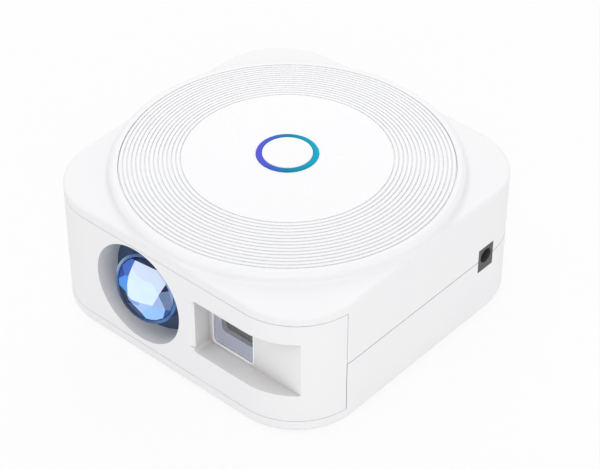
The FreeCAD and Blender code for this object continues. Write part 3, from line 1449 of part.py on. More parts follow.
def make_rubber_feet():
    body = new_body("rubber_feet")
    body.AllowCompound = True
    feet = new_sketch(body, "feet", lift=ZERO)
    for x, y in foot_spots:
        draw_circle(feet, x, y, size.foot_radius)
    whole = pad(body, feet, size.foot_stand + size.foot_set)
    rims = edges_where(whole, lambda edge: edge.BoundBox.ZMax < size.foot_edge.number)
    soften(body, whole, "Chamfer", rims, size.foot_edge)
    return body


def make_parts():
    """Every piece of the projector, each under its own name."""
    return [
        make_lower_shell(),
        make_upper_shell(),
        make_faceplate(),
        make_top_disc(),
        make_light_ring(),
        make_power_key(),
        make_switch_plunger(),
        make_tact_switch(),
        make_key_board(),
        make_ring_lamps(),
        screw_group(
            "key_board_screws", HERE, key_screw_spots(), deck_under - size.board_thick, True,
            small_kind, size.board_thick + size.deck_thick * blind_share,
        ),
        make_lens_ring(),
        make_faceted_lens(),
        make_lens_holder(),
        screw_group(
            "lug_screws", LENS, lug_spots, flange_rear + size.small_head_height, True,
            small_kind, size.plate_screw,
        ),
        make_ripple_wheel(),
        rod(
            "wheel_axle", shifted(LENS, -size.wheel_offset, ZERO), size.axle_radius,
            cage_rear, flange_rear + size.flange_thick * blind_share,
        ),
        make_gear_plate(),
        screw_group("gear_plate_screws", LENS, cage_spots, cage_rear, True, small_kind, size.cage_screw),
        make_drive_pinion(),
        rod(
            "nebula_shaft", shifted(LENS, pinion_x, pinion_y), size.shaft_radius,
            cage_rear - size.motor_socket, wheel_middle + size.pinion_thick / 2,
        ),
        make_motor("nebula_motor", shifted(LENS, pinion_x, pinion_y), cage_rear),
        make_light_tube(),
        screw_group(
            "tube_screws", LENS, front_ears, cage_rear - size.tube_flange_thick, True,
            small_kind, size.tube_flange_thick + size.cage_thick * blind_share,
        ),
        make_condenser(),
        drilled_disc("lamp_board", LENS, lamp_rear, size.board_thick, size.tube_radius, [], ZERO),
        make_emitters(),
        make_heat_sink(),
        screw_group(
            "heat_sink_screws", LENS, ear_spots, tube_rear + size.ear_thick, False,
            small_kind, size.ear_thick + size.board_thick + size.sink_base * blind_share,
        ),
        make_window_glass(),
        make_window_frame(),
        make_grating_wheel(),
        rod(
            "star_shaft", star_frame(star_shaft_x), size.shaft_radius,
            -(bracket_rear + size.motor_socket), size.grating_hub_length - grating_hub_rear,
        ),
        make_star_bracket(),
        make_motor("star_motor", star_frame(star_shaft_x), -bracket_rear),
        make_laser_barrel(),
        screw_group(
            "bracket_screws", HERE, bracket_spots, bracket_base + size.bracket_thick, False,
            small_kind, size.plate_screw,
        ),
        board(
            "main_board", size.board_left, board_right, size.board_front, board_rear,
            size.board_height, board_spots,
        ),
        board_parts(
            "main_board_parts", size.board_left, size.board_front, size.board_length, size.board_depth,
            size.board_height + size.board_thick, MAIN_PART_SHARES,
        ),
        screw_group(
            "main_board_screws", HERE, board_spots, size.board_height + size.board_thick, False,
            small_kind, size.plate_screw,
        ),
        board(
            "power_board", size.power_left, power_right, size.power_front, power_rear,
            power_top - size.board_thick, power_spots,
        ),
        board_parts(
            "power_board_parts", size.power_left, size.power_front,
            half - size.jack_depth - size.power_left, size.power_depth, power_top, POWER_PART_SHARES,
        ),
        screw_group("power_board_screws", HERE, power_spots, power_top, False, small_kind, size.plate_screw),
        make_dc_jack(),
        make_jack_pin(),
        screw_group(
            "case_screws", HERE, shell_posts, size.foot_stand + size.head_recess, True,
            case_kind, size.screw_length,
        ),
        make_rubber_feet(),
    ]


parts = make_parts()
doc.recompute()
for thing in doc.Objects:
    if "Invalid" in thing.State or "Error" in thing.State:
        raise ValueError("%s did not build: %s" % (thing.Name, thing.State))
for part in parts:
    if part.Shape.isNull() or not part.Shape.isValid():
        raise ValueError("%s has no sound shape" % part.Label)
for part in parts:
    part.Shape.exportStep(os.path.join("parts", part.Label + ".step"))
print("%d parts written" % len(parts))
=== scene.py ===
import math

import bmesh
import bpy
from mathutils import Matrix, Vector


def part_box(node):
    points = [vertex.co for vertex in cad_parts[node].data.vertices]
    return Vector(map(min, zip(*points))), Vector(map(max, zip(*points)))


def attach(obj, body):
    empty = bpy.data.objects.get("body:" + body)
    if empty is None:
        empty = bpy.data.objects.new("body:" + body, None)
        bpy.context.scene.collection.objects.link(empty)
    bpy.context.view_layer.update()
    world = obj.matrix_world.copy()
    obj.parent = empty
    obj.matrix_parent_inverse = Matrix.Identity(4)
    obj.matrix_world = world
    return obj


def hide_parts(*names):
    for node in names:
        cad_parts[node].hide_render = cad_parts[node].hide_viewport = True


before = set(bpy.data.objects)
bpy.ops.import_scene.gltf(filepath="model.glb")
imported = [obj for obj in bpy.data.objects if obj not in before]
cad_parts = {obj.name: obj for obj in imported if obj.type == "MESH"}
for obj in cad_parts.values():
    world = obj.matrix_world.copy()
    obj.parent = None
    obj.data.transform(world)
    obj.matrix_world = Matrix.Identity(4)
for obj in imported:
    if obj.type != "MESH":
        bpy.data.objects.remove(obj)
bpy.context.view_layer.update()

# Camera
# The photograph was taken from above the front right corner, from well back, with a long lens.
# Its place and its three axes come from the case's own edges and circles in the picture.
CAMERA_PLACE = (0.41967, -0.46815, 0.53384)
CAMERA_RIGHT = (0.748796, 0.662798, 0.001987)
CAMERA_UP = (-0.417575, 0.469423, 0.777993)
CAMERA_BACK = (0.514719, -0.583388, 0.628270)
FOCAL_PIXELS = 2008.5
FRAME_PIXELS = 600
SENSOR_MM = 36.0
CLIP_END = 20.0


def in_scene(name, data):
    """A new object in the scene."""
    made = bpy.data.objects.new(name, data)
    bpy.context.scene.collection.objects.link(made)
    return made


camera_data = bpy.data.cameras.new("photo_camera")
camera_data.sensor_width = SENSOR_MM
camera_data.lens = FOCAL_PIXELS / FRAME_PIXELS * SENSOR_MM
camera_data.clip_end = CLIP_END
camera = in_scene("photo_camera", camera_data)
camera_axes = Matrix((CAMERA_RIGHT, CAMERA_UP, CAMERA_BACK)).transposed()
camera.matrix_world = Matrix.Translation(CAMERA_PLACE) @ camera_axes.to_4x4()
bpy.context.scene.camera = camera
bpy.context.scene.view_settings.view_transform = "Standard"

# Case: lower shell, upper shell and faceplate
# Three injection mouldings in white ABS. Their tool is spark eroded to a fine satin grain, so the
# walls shine only softly. The shells screw together, and the faceplate snaps in between them.
CASE_WHITE, CASE_WORN = "#F6F6F7", "#F1F1F3"
CASE_GRAIN_MM = 0.45  # the real grain is about 0.1 mm, drawn coarser so that it shows
CASE_GRAIN_HEIGHT_MM = 0.012
CASE_FLOW_MM = 45.0
CASE_ROUGHNESS = 0.42
MOULDING_SPREAD = 0.06  # how far a moulding's roughness varies to each side
PLASTIC_INDEX = 1.54  # of ABS, and near enough for the other moulded plastics
MM_PER_METRE = 1000.0
# The painted shade deep in a hollow, how far out it reaches in mm, and if only the part's own
# walls count
PARTING_PAINTED_SHADE = "#202020", 1.0, False
RIM_PAINTED_SHADE = "#8C8C8C", 0.8, True
RECESS_PAINTED_SHADE = "#A6A29D", 24.0, True
SHADE_SAMPLES = 4


def linear(hex_colour):
    """An sRGB hex colour as the linear values that a shader takes."""
    values = [int(hex_colour[start:start + 2], 16) / 255 for start in (1, 3, 5)]
    return [v / 12.92 if v <= 0.04045 else ((v + 0.055) / 1.055) ** 2.4 for v in values] + [1.0]


def add(material, kind, values=None, links=None, **settings):
    """Add a node, set its settings and socket values, and link other nodes' sockets into it."""
    tree = material.node_tree
    made = tree.nodes.new(kind)
    for name, value in settings.items():
        setattr(made, name, value)
    for name, value in (values or {}).items():
        made.inputs[name].default_value = value
    for name, source in (links or {}).items():
        tree.links.new(source, made.inputs[name])
    return made


def blank_material(name):
    """A new material with nothing in it."""
    material = bpy.data.materials.new(name)
    material.use_nodes = True
    material.node_tree.nodes.clear()
    return material


def surface(material, values, links):
    """Close a material with its one shader."""
    shader = add(material, "ShaderNodeBsdfPrincipled", values, links)
    add(material, "ShaderNodeOutputMaterial", links={"Surface": shader.outputs["BSDF"]})
    return material


def placed(material, origin=(0, 0, 0), turn=(0, 0, 0), stretch=(1, 1, 1)):
    """The object's own coordinates, seen from a part's middle and along its axes."""
    here = add(material, "ShaderNodeTexCoord")
    return add(
        material, "ShaderNodeMapping", {"Location": origin, "Rotation": turn, "Scale": stretch},
        {"Vector": here.outputs["Object"]}, vector_type="TEXTURE",
    ).outputs["Vector"]


def cloud(material, spot, size_mm, detail=2.0):
    """Soft irregular spots of a real size, from 0 to 1."""
    return add(
        material, "ShaderNodeTexNoise", {"Scale": MM_PER_METRE / size_mm, "Detail": detail},
        {"Vector": spot},
    ).outputs["Fac"]


def between(material, source, low, high, start=0.3, end=0.7):
    """A pattern's middle range as values from low to high."""
    return add(
        material, "ShaderNodeMapRange",
        {"From Min": start, "From Max": end, "To Min": low, "To Max": high}, {"Value": source},
    ).outputs["Result"]


def relief(material, height, depth_mm, strength=0.5):
    """A pattern as relief of a real depth."""
    return add(
        material, "ShaderNodeBump", {"Strength": strength, "Distance": depth_mm / MM_PER_METRE},
        {"Height": height},
    ).outputs["Normal"]


def two_tone(material, source, first, second):
    """A pattern as a blend of two colours."""
    tones = add(material, "ShaderNodeValToRGB", links={"Fac": source})
    tones.color_ramp.elements[0].color = linear(first)
    tones.color_ramp.elements[1].color = linear(second)
    return tones.outputs["Color"]


def painted_shade_in_hollows(material, source, shade, reach_mm, own_walls):
    """A colour with painted shade, which greys it where walls close in and real shade falls."""
    open_share = add(
        material, "ShaderNodeAmbientOcclusion", {"Distance": reach_mm / MM_PER_METRE},
        samples=SHADE_SAMPLES, only_local=own_walls,
    ).outputs["AO"]
    return add(
        material, "ShaderNodeMix", {"A": linear(shade)}, {"Factor": open_share, "B": source},
        data_type="RGBA",
    ).outputs["Result"]


def moulded(name, colour, worn, roughness, grain_mm, grain_height_mm, flow_mm, hollow=None, **values):
    """A moulding: the tool's grain in relief, a faint cloud of colour and gloss from its flow, and
    painted shade if given.
    """
    material = blank_material(name)
    spot = placed(material)
    flow = cloud(material, spot, flow_mm, detail=3.0)
    grain = cloud(material, spot, grain_mm)
    tone = two_tone(material, flow, worn, colour)
    if hollow:
        tone = painted_shade_in_hollows(material, tone, *hollow)
    return surface(
        material,
        {
            "IOR": PLASTIC_INDEX, "Base Color": linear(colour),
            **{key.replace("_", " "): value for key, value in values.items()},
        },
        {
            "Base Color": tone,
            "Roughness": between(
                material, flow, roughness - MOULDING_SPREAD, roughness + MOULDING_SPREAD,
            ),
            "Normal": relief(material, grain, grain_height_mm),
        },
    )


def dress(material, *nodes):
    """Give CAD nodes their finish."""
    for node in nodes:
        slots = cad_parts[node].data.materials
        slots.clear()
        slots.append(material)


# Each case part gets painted shade where walls close in: the lower shell in the parting line, the upper
# shell round the disc's rim, and the faceplate in the window recess and the bore.
for node, hollow in (
    ("lower_shell", PARTING_PAINTED_SHADE), ("upper_shell", RIM_PAINTED_SHADE), ("faceplate", RECESS_PAINTED_SHADE),
):
    case_abs = moulded(
        "white_abs_spark_eroded_" + node, CASE_WHITE, CASE_WORN, CASE_ROUGHNESS, CASE_GRAIN_MM,
        CASE_GRAIN_HEIGHT_MM, CASE_FLOW_MM, hollow,
    )
    dress(case_abs, node)

# Case screws
# Four long screws with hexagon sockets, in zinc-plated steel, come up through the case floor. The
# plating gives a bright grey skin with a slight blue-yellow cast and a soft, uneven gloss.
METAL_SPREAD = 0.08  # how far a metal's roughness varies to each side


def worked_metal(
    name, light, dark, roughness, spot_mm, mark_mm, mark_depth_mm,
    origin=(0, 0, 0), turn=(0, 0, 0), lie=(1, 1, 1),
):
    """Metal with tool or rolling marks that lie along one axis, and a cloudy skin."""
    material = blank_material(name)
    skin = cloud(material, placed(material), spot_mm, detail=3.0)
    marks = cloud(material, placed(material, origin, turn, lie), mark_mm)
    return surface(
        material, {"Metallic": 1.0},
        {
            "Base Color": two_tone(material, skin, dark, light),
            "Roughness": between(material, skin, roughness - METAL_SPREAD, roughness + METAL_SPREAD),
            "Normal": relief(material, marks, mark_depth_mm),
        },
    )


zinc_plate = worked_metal(
    "steel_zinc_plated", light="#C6C8C9", dark="#A2A6AC",
    roughness=0.34, spot_mm=1.6, mark_mm=0.5, mark_depth_mm=0.01,
)
dress(
    zinc_plate, "case_screws", "key_board_screws", "lug_screws", "gear_plate_screws", "tube_screws",
    "heat_sink_screws", "bracket_screws", "main_board_screws", "power_board_screws",
)

# Feet
# Four soft white thermoplastic rubber discs, glued into seats in the case floor. The rubber is dull,
# slightly yellow beside the ABS, and picks up grey dust where it stands.
foot_rubber = moulded(
    "tpe_rubber_moulded", "#DEDBD4", "#C4C0B8",
    roughness=0.82, grain_mm=0.7, grain_height_mm=0.04, flow_mm=6.0,
)
dress(foot_rubber, "rubber_feet")

# Grooved disc
# A separate cover in white ABS from a polished tool, domed a little and pressed into the rim. It is
# glossier than the case, and the turning of its tool shows as very faint rings between the grooves.
DISC_WHITE, DISC_WORN = "#F6F6F7", "#F3F3F5"
DISC_ROUGHNESS = 0.24, 0.32
TURNING_PITCH_MM = 0.5  # the real tool marks are near 0.05 mm, drawn coarser so that they show
WAVE_PERIOD = math.pi / 10.0  # how far apart a wave texture's lines lie at a scale of 1


def wave_scale(pitch_mm):
    """The scale of a wave texture whose lines lie a real distance apart."""
    return WAVE_PERIOD * MM_PER_METRE / pitch_mm


disc_abs = blank_material("white_abs_polished_tool")
disc_spot = placed(disc_abs)
disc_flow = cloud(disc_abs, disc_spot, size_mm=50.0)
disc_turning = add(
    disc_abs, "ShaderNodeTexWave", {"Scale": wave_scale(TURNING_PITCH_MM)}, {"Vector": disc_spot},
    wave_type="RINGS", rings_direction="Z",
).outputs["Fac"]
surface(
    disc_abs, {"IOR": PLASTIC_INDEX},
    {
        "Base Color": two_tone(disc_abs, disc_flow, DISC_WORN, DISC_WHITE),
        "Roughness": between(disc_abs, disc_flow, *DISC_ROUGHNESS),
        "Normal": relief(disc_abs, disc_turning, depth_mm=0.0015, strength=0.3),
    },
)
dress(disc_abs, "top_disc")

# Power key
# A sprung round key in the middle of the disc, moulded in the same white ABS with the same polish.
# It clicks down by less than a millimetre. Fingers dull it a little.
key_abs = moulded(
    "white_abs_key", DISC_WHITE, DISC_WORN,
    roughness=0.3, grain_mm=0.6, grain_height_mm=0.006, flow_mm=8.0,
)
dress(key_abs, "power_key")

# Light ring and its lamps
# A ring of milky acrylic round the key, lit from below by small clear lamps. It glows evenly, blue
# violet at its left and cyan at its right, and the two colours run into each other along both sides.
RING_GLOW_TURN = math.radians(41.5)  # the colours change along this direction on the disc
RING_GLOW_REACH = 0.0123
RING_GLOW = ((0.0, "#5A54D6"), (0.25, "#3A60C4"), (0.5, "#0E7EA0"), (0.75, "#0694B2"), (1.0, "#00A6C6"))
RING_ROUGHNESS = 0.3, 0.4
ACRYLIC_INDEX = 1.49


def toned_along(material, share, stops):
    """Colours that run into each other along a share from 0 to 1."""
    tones = add(material, "ShaderNodeValToRGB", links={"Fac": share})
    for place, colour in stops[1:-1]:
        tones.color_ramp.elements.new(place)
    for stop, (place, colour) in zip(tones.color_ramp.elements, stops):
        stop.position, stop.color = place, linear(colour)
    return tones.outputs["Color"]


ring_acrylic = blank_material("opal_acrylic_lit")
ring_spot = placed(ring_acrylic, turn=(0, 0, RING_GLOW_TURN))
ring_across = add(ring_acrylic, "ShaderNodeSeparateXYZ", links={"Vector": ring_spot}).outputs["X"]
ring_share = between(ring_acrylic, ring_across, 0.0, 1.0, -RING_GLOW_REACH, RING_GLOW_REACH)
ring_tones = toned_along(ring_acrylic, ring_share, RING_GLOW)
ring_milk = cloud(ring_acrylic, placed(ring_acrylic), size_mm=2.5)
surface(
    ring_acrylic, {"IOR": ACRYLIC_INDEX, "Specular IOR Level": 0.04, "Emission Strength": 0.1},
    {
        "Base Color": ring_tones, "Emission Color": ring_tones,
        "Roughness": between(ring_acrylic, ring_milk, *RING_ROUGHNESS),
        "Normal": relief(ring_acrylic, ring_milk, depth_mm=0.004),
    },
)
dress(ring_acrylic, "light_ring")

lamp_resin = moulded(
    "lamp_resin_cast", "#F2E8B4", "#E6D98E",
    roughness=0.18, grain_mm=0.3, grain_height_mm=0.01, flow_mm=1.2, Coat_Weight=0.6,
)
dress(lamp_resin, "ring_lamps", "emitters")

# Key switch
# The key presses a black plunger into a small tact switch. The plunger is glass-filled nylon, and
# the switch's can is thin tinned steel, bent over the body, with a mild grey shine.
black_nylon = moulded(
    "black_nylon_glass_filled", "#1E1E20", "#28282A",
    roughness=0.5, grain_mm=0.35, grain_height_mm=0.015, flow_mm=3.0,
)
dress(black_nylon, "switch_plunger")
tinned_steel = worked_metal(
    "steel_tinned", light="#D5D3CC", dark="#BDBBB4",
    roughness=0.3, spot_mm=1.0, mark_mm=0.3, mark_depth_mm=0.006, lie=(6, 1, 1),
)
dress(tinned_steel, "tact_switch")

# Circuit boards
# Glass-epoxy boards with copper tracks under a green solder mask. The mask is glossy, paler over
# the tracks, and the glass weave shows faintly in it. The lamp board is aluminium with a white mask.
TRACK_CELL_MM = 3.2
TRACK_HEIGHT_MM = 0.05
TRACK_EDGE = 0.05, 0.09  # where a track ends and the bare board begins, as shares of a cell
WEAVE_MM = 0.6
WEAVE_SHARE = 0.12
BOARD_SPREAD = 0.05  # how far a mask's roughness varies to each side
MASK_INDEX = 1.52


def board_finish(name, bare, track, roughness):
    """A solder mask over copper tracks and a glass weave."""
    material = blank_material(name)
    spot = placed(material)
    cells = add(
        material, "ShaderNodeTexVoronoi", {"Scale": MM_PER_METRE / TRACK_CELL_MM}, {"Vector": spot},
        feature="DISTANCE_TO_EDGE",
    ).outputs["Distance"]
    tracks = between(material, cells, 1.0, 0.0, *TRACK_EDGE)
    weave = add(
        material, "ShaderNodeTexWave", {"Scale": wave_scale(WEAVE_MM), "Distortion": 0.4},
        {"Vector": spot}, wave_type="BANDS", bands_direction="DIAGONAL",
    ).outputs["Fac"]
    both = add(
        material, "ShaderNodeMath", {1: WEAVE_SHARE}, {0: weave, 2: tracks}, operation="MULTIPLY_ADD",
    ).outputs["Value"]
    return surface(
        material, {"IOR": MASK_INDEX, "Coat Weight": 0.3, "Coat Roughness": 0.15},
        {
            "Base Color": two_tone(material, both, bare, track),
            "Roughness": between(material, weave, roughness - BOARD_SPREAD, roughness + BOARD_SPREAD),
            "Normal": relief(material, both, TRACK_HEIGHT_MM),
        },
    )


green_mask = board_finish("glass_epoxy_green_mask", bare="#0F4A2C", track="#1C6B40", roughness=0.35)
dress(green_mask, "key_board", "main_board", "power_board")
white_mask = board_finish(
    "aluminium_board_white_mask", bare="#E9EAE8", track="#F4F4F2", roughness=0.4,
)
dress(white_mask, "lamp_board")
chip_epoxy = moulded(
    "black_epoxy_transfer_moulded", "#202124", "#2B2C2F",
    roughness=0.6, grain_mm=0.25, grain_height_mm=0.012, flow_mm=4.0,
)
dress(chip_epoxy, "main_board_parts", "power_board_parts")

# Lens holder
# A dark blue ABS tube behind the bore, with the light passage through it. Its skin is a dull
# spark-eroded grain. In the bore it shades from grey blue in front to nearly black at the back.
holder_abs = moulded(
    "dark_blue_abs_spark_eroded", "#3C567E", "#364E74",
    roughness=0.5, grain_mm=0.5, grain_height_mm=0.02, flow_mm=12.0,
)
dress(holder_abs, "lens_holder")

# Lens rim
# A clear ring of blue-tinted acrylic with a polished face, glued on the holder round the lens. Its
# colour is painted: the holder seen through it as a painted refraction, deeper blue, and a painted
# highlight that makes it paler at its left, where it faces the room.
LENS_PLACE = Vector((-0.0141, -0.0663, 0.0315))
LENS_TURN, LENS_TILT = math.radians(7.8), math.radians(10.2)
# The rim's painted colours round the lens: painted refraction of the holder and painted reflection
RIM_PAINTED_VIEW = (
    (0.0, "#37609C"), (0.05, "#356094"), (0.083, "#2E4682"), (0.125, "#143254"), (0.17, "#143254"),
    (0.21, "#203C62"), (0.25, "#22467A"), (0.29, "#365696"), (0.34, "#4C70AC"), (0.38, "#4C72B0"),
    (0.42, "#3960A6"), (0.46, "#5280BC"), (0.5, "#486E9E"), (0.78, "#4C6A9B"), (0.86, "#4668A0"),
    (0.97, "#4068A8"), (1.0, "#37609C"),
)
# Painted highlight round the left of the rim's outer side, where a real highlight falls
RIM_PAINTED_HIGHLIGHT = "#C4E2F6"  # a pale edge round the left of its outer side, and how strong it is
RIM_HIGHLIGHT_SHARE = (
    (0.0, "#737373"), (0.05, "#4D4D4D"), (0.12, "#000000"), (0.84, "#000000"), (0.93, "#E6E6E6"),
    (0.96, "#D9D9D9"), (1.0, "#737373"),
)
RIM_HIGHLIGHT_MM = (13.4, 14.6)
RIM_ROUGHNESS = 0.06, 0.16
ACROSS_ONLY = (1, 1, 1000)  # squeezes out the depth, so that only the way across the lens counts

lens_out = Vector((
    math.sin(LENS_TURN) * math.cos(LENS_TILT), -math.cos(LENS_TURN) * math.cos(LENS_TILT),
    math.sin(LENS_TILT),
))
lens_across = Vector((math.cos(LENS_TURN), math.sin(LENS_TURN), 0))
lens_axes = Matrix((lens_across, lens_out.cross(lens_across), lens_out)).transposed()
lens_angles = lens_axes.to_euler()

rim_acrylic = blank_material("blue_acrylic_rim_painted_view")
rim_spot = placed(rim_acrylic, LENS_PLACE, lens_angles)
rim_share = add(
    rim_acrylic, "ShaderNodeTexGradient", links={"Vector": rim_spot}, gradient_type="RADIAL",
).outputs["Fac"]
rim_view_tones = toned_along(rim_acrylic, rim_share, RIM_PAINTED_VIEW)
rim_flat = placed(rim_acrylic, LENS_PLACE, lens_angles, ACROSS_ONLY)
rim_reach = add(
    rim_acrylic, "ShaderNodeVectorMath", links={0: rim_flat}, operation="LENGTH",
).outputs["Value"]
highlight_band = between(rim_acrylic, rim_reach, 0.0, 1.0, *(edge / MM_PER_METRE for edge in RIM_HIGHLIGHT_MM))
highlight_round_rim = toned_along(rim_acrylic, rim_share, RIM_HIGHLIGHT_SHARE)
painted_highlight = add(
    rim_acrylic, "ShaderNodeMath", links={0: highlight_band, 1: highlight_round_rim}, operation="MULTIPLY",
).outputs[0]
rim_with_highlight = add(
    rim_acrylic, "ShaderNodeMix", {"B": linear(RIM_PAINTED_HIGHLIGHT)},
    {"Factor": painted_highlight, "A": rim_view_tones}, data_type="RGBA",
).outputs["Result"]
rim_flow = cloud(rim_acrylic, rim_spot, size_mm=3.0)
surface(
    rim_acrylic, {"IOR": ACRYLIC_INDEX, "Specular IOR Level": 0.4},
    {
        "Base Color": rim_with_highlight,
        "Roughness": between(rim_acrylic, rim_flow, *RIM_ROUGHNESS),
        "Normal": relief(rim_acrylic, rim_flow, depth_mm=0.02),
    },
)
dress(rim_acrylic, "lens_ring")

# Faceted lens
# A solid block of blue-tinted acrylic, cut or moulded with one large many-sided facet and a ring of
# small ones, and polished. Each facet bends the view to another part of the holder or the room, and
# that view is painted on it as its own colour, from near black to pale cyan: painted refraction and
# reflection, with a faint painted glow.
LENS_RADIUS_MM = 13.1
LENS_TABLE_MM = 0.7
LENS_GIRDLE_MM = -0.2
LENS_BACK_MM = -6.5
# Painted glow that stands in for the room's light coming through the block
FACET_PAINTED_GLOW = 0.15  # the share of the room's light that comes through the block
FACET_ROUGHNESS = 0.03, 0.07
# Across and up as shares of the lens's radius, and the share of the rise from girdle to table
LENS_CORNERS = {
    "a": (-0.404, 0.850, 1), "b": (0.366, 0.835, 1), "c": (0.738, 0.502, 1), "d": (0.569, 0.154, 1),
    "e": (0.510, 0.022, 1), "f": (0.323, -0.420, 1), "g": (-0.145, -0.511, 1), "h": (-0.434, -0.536, 1),
    "i": (-0.588, -0.439, 1), "j": (-0.632, -0.082, 1), "k": (-0.609, 0.226, 1), "l": (-0.514, 0.550, 1),
    "m": (-0.769, 0.173, 0.55), "n": (-0.697, -0.362, 0.55), "o": (-0.577, -0.588, 0.5),
    "p": (-0.429, -0.679, 0.4), "q": (-0.177, -0.647, 0.7), "r": (-0.052, -0.887, 0.2),
    "s": (0.238, -0.476, 0.8), "t": (0.762, -0.384, 0.45), "u": (0.838, 0.295, 0.5),
    "v": (-0.344, 0.387, 1), "w": (-0.047, 0.291, 1), "x": (0.211, 0.327, 1), "y": (0.391, 0.206, 1),
}
# The names of the corners on the edge, and their places as shares of a turn
EDGE_NAMES = "ABCDEFGHIJKLMNOPQRSTUVWXYZ"
LENS_EDGE = (
    0.352, 0.389, 0.428, 0.467, 0.508, 0.541, 0.574, 0.606, 0.638, 0.681, 0.724, 0.762, 0.794,
    0.828, 0.870, 0.906, 0.944, 0.978, 1.022, 1.069, 1.100, 1.131, 1.161, 1.192, 1.244, 1.300,
)
# Each facet's corners, and the two painted colours of its bent view that it blends
LENS_FACETS = (
    ("alvwxyedcb", "#D4E1F8", "#CDDCF6"), ("lkjihgfeyxwv", "#DAEEFC", "#D2EAFC"),
    ("laABCmk", "#406EC8", "#3460BC"), ("mCDE", "#1B3C96", "#25489E"), ("jkmEFni", "#5098EE", "#448AE2"),
    ("onFGHIp", "#0E2440", "#0A182C"), ("opqghin", "#86A8EE", "#7898E2"), ("pIJKr", "#435276", "#2F3A5A"),
    ("qprsfg", "#ACCBF6", "#9FC0F0"), ("srLMNOt", "#9BC8FF", "#8CBCF8"), ("rKL", "#2855A5", "#1F4890"),
    ("tOPQ", "#2855A5", "#22509C"), ("fste", "#A8C0EE", "#9AB4E6"), ("detQRu", "#7085AA", "#64789E"),
    ("duc", "#081446", "#0C1A50"), ("uRSTUVc", "#8FA6D2", "#7F96C6"), ("cVWXb", "#C9D6F4", "#B4C6EC"),
    ("abXYZA", "#1B2F5C", "#14223F"),
)
LENS_SIDE = ("#2C4C94", "#243F80")


def cut_facet(name, first, second):
    """One facet: two neighbouring painted tones of its bent view, with soft, broad edges, a painted glow
    and a high polish.
    """
    material = blank_material(name)
    spot = placed(material, LENS_PLACE, lens_angles)
    view = cloud(material, spot, size_mm=5.0, detail=1.0)
    seen = two_tone(material, view, first, second)
    return surface(
        material,
        {
            "IOR": ACRYLIC_INDEX, "Specular IOR Level": 0.25, "Base Color": linear(first),
            "Emission Strength": FACET_PAINTED_GLOW,
        },
        {
            "Base Color": seen, "Emission Color": seen,
            "Roughness": between(material, view, *FACET_ROUGHNESS),
            "Normal": relief(material, cloud(material, spot, size_mm=1.5), depth_mm=0.004, strength=0.3),
        },
    )


lens_block = bmesh.new()
lens_rise = LENS_TABLE_MM - LENS_GIRDLE_MM
lens_points = {
    name: Vector((across * LENS_RADIUS_MM, up * LENS_RADIUS_MM, LENS_GIRDLE_MM + lens_rise * rise))
    for name, (across, up, rise) in LENS_CORNERS.items()
}
for name, share in zip(EDGE_NAMES, LENS_EDGE):
    angle = 2 * math.pi * share
    lens_points[name] = Vector(
        (LENS_RADIUS_MM * math.cos(angle), LENS_RADIUS_MM * math.sin(angle), LENS_GIRDLE_MM)
    )
lens_corners = {name: lens_block.verts.new(point) for name, point in lens_points.items()}
for number, (corners, first, second) in enumerate(LENS_FACETS):
    lens_block.faces.new([lens_corners[name] for name in corners]).material_index = number
edge_ring = [lens_corners[name] for name in EDGE_NAMES]
back_ring = [lens_block.verts.new((corner.co.x, corner.co.y, LENS_BACK_MM)) for corner in edge_ring]
for here, (corner, back) in enumerate(zip(edge_ring, back_ring)):
    after = (here + 1) % len(edge_ring)
    wall = lens_block.faces.new([corner, back, back_ring[after], edge_ring[after]])
    wall.material_index = len(LENS_FACETS)
lens_block.faces.new(back_ring).material_index = len(LENS_FACETS)
bmesh.ops.recalc_face_normals(lens_block, faces=lens_block.faces)
bmesh.ops.triangulate(lens_block, faces=lens_block.faces)
bmesh.ops.transform(
    lens_block, verts=lens_block.verts,
    matrix=Matrix.Translation(LENS_PLACE) @ lens_axes.to_4x4() @ Matrix.Scale(1 / MM_PER_METRE, 4),
)
lens_mesh = bpy.data.meshes.new("cut_lens")
lens_block.to_mesh(lens_mesh)
lens_block.free()
for corners, first, second in LENS_FACETS:
    lens_mesh.materials.append(cut_facet("blue_acrylic_painted_facet_" + corners, first, second))
lens_mesh.materials.append(cut_facet("blue_acrylic_painted_side", *LENS_SIDE))
cut_lens = in_scene("cut_lens", lens_mesh)
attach(cut_lens, "case")
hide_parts("faceted_lens")

# Ripple wheel and its drive
# A clear acrylic wheel with a wavy face turns slowly behind the lens and makes the light crawl. A
# natural acetal pinion drives it, from a small motor in a drawn steel can. Both run on steel shafts.
RIPPLE_MM = 3.5
RIPPLE_HEIGHT_MM = 0.5
CLEAR_SPREAD = 0.05  # how much rougher clear plastic gets from place to place
CAN_FINISH = {
    "light": "#C9C8C4", "dark": "#ADADAA",
    "roughness": 0.28, "spot_mm": 6.0, "mark_mm": 0.4, "mark_depth_mm": 0.01,
}


def clear_plastic(name, tint, roughness, wave_mm, wave_height_mm):
    """Clear plastic with a slow wave in its face, and gloss that varies with it."""
    material = blank_material(name)
    waves = cloud(material, placed(material), wave_mm, detail=1.0)
    return surface(
        material, {"IOR": ACRYLIC_INDEX, "Transmission Weight": 0.92, "Base Color": linear(tint)},
        {
            "Roughness": between(material, waves, roughness, roughness + CLEAR_SPREAD),
            "Normal": relief(material, waves, wave_height_mm, strength=1.0),
        },
    )


def middle_of(node):
    """The middle of a node's box."""
    low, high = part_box(node)
    return (Vector(low) + Vector(high)) / 2


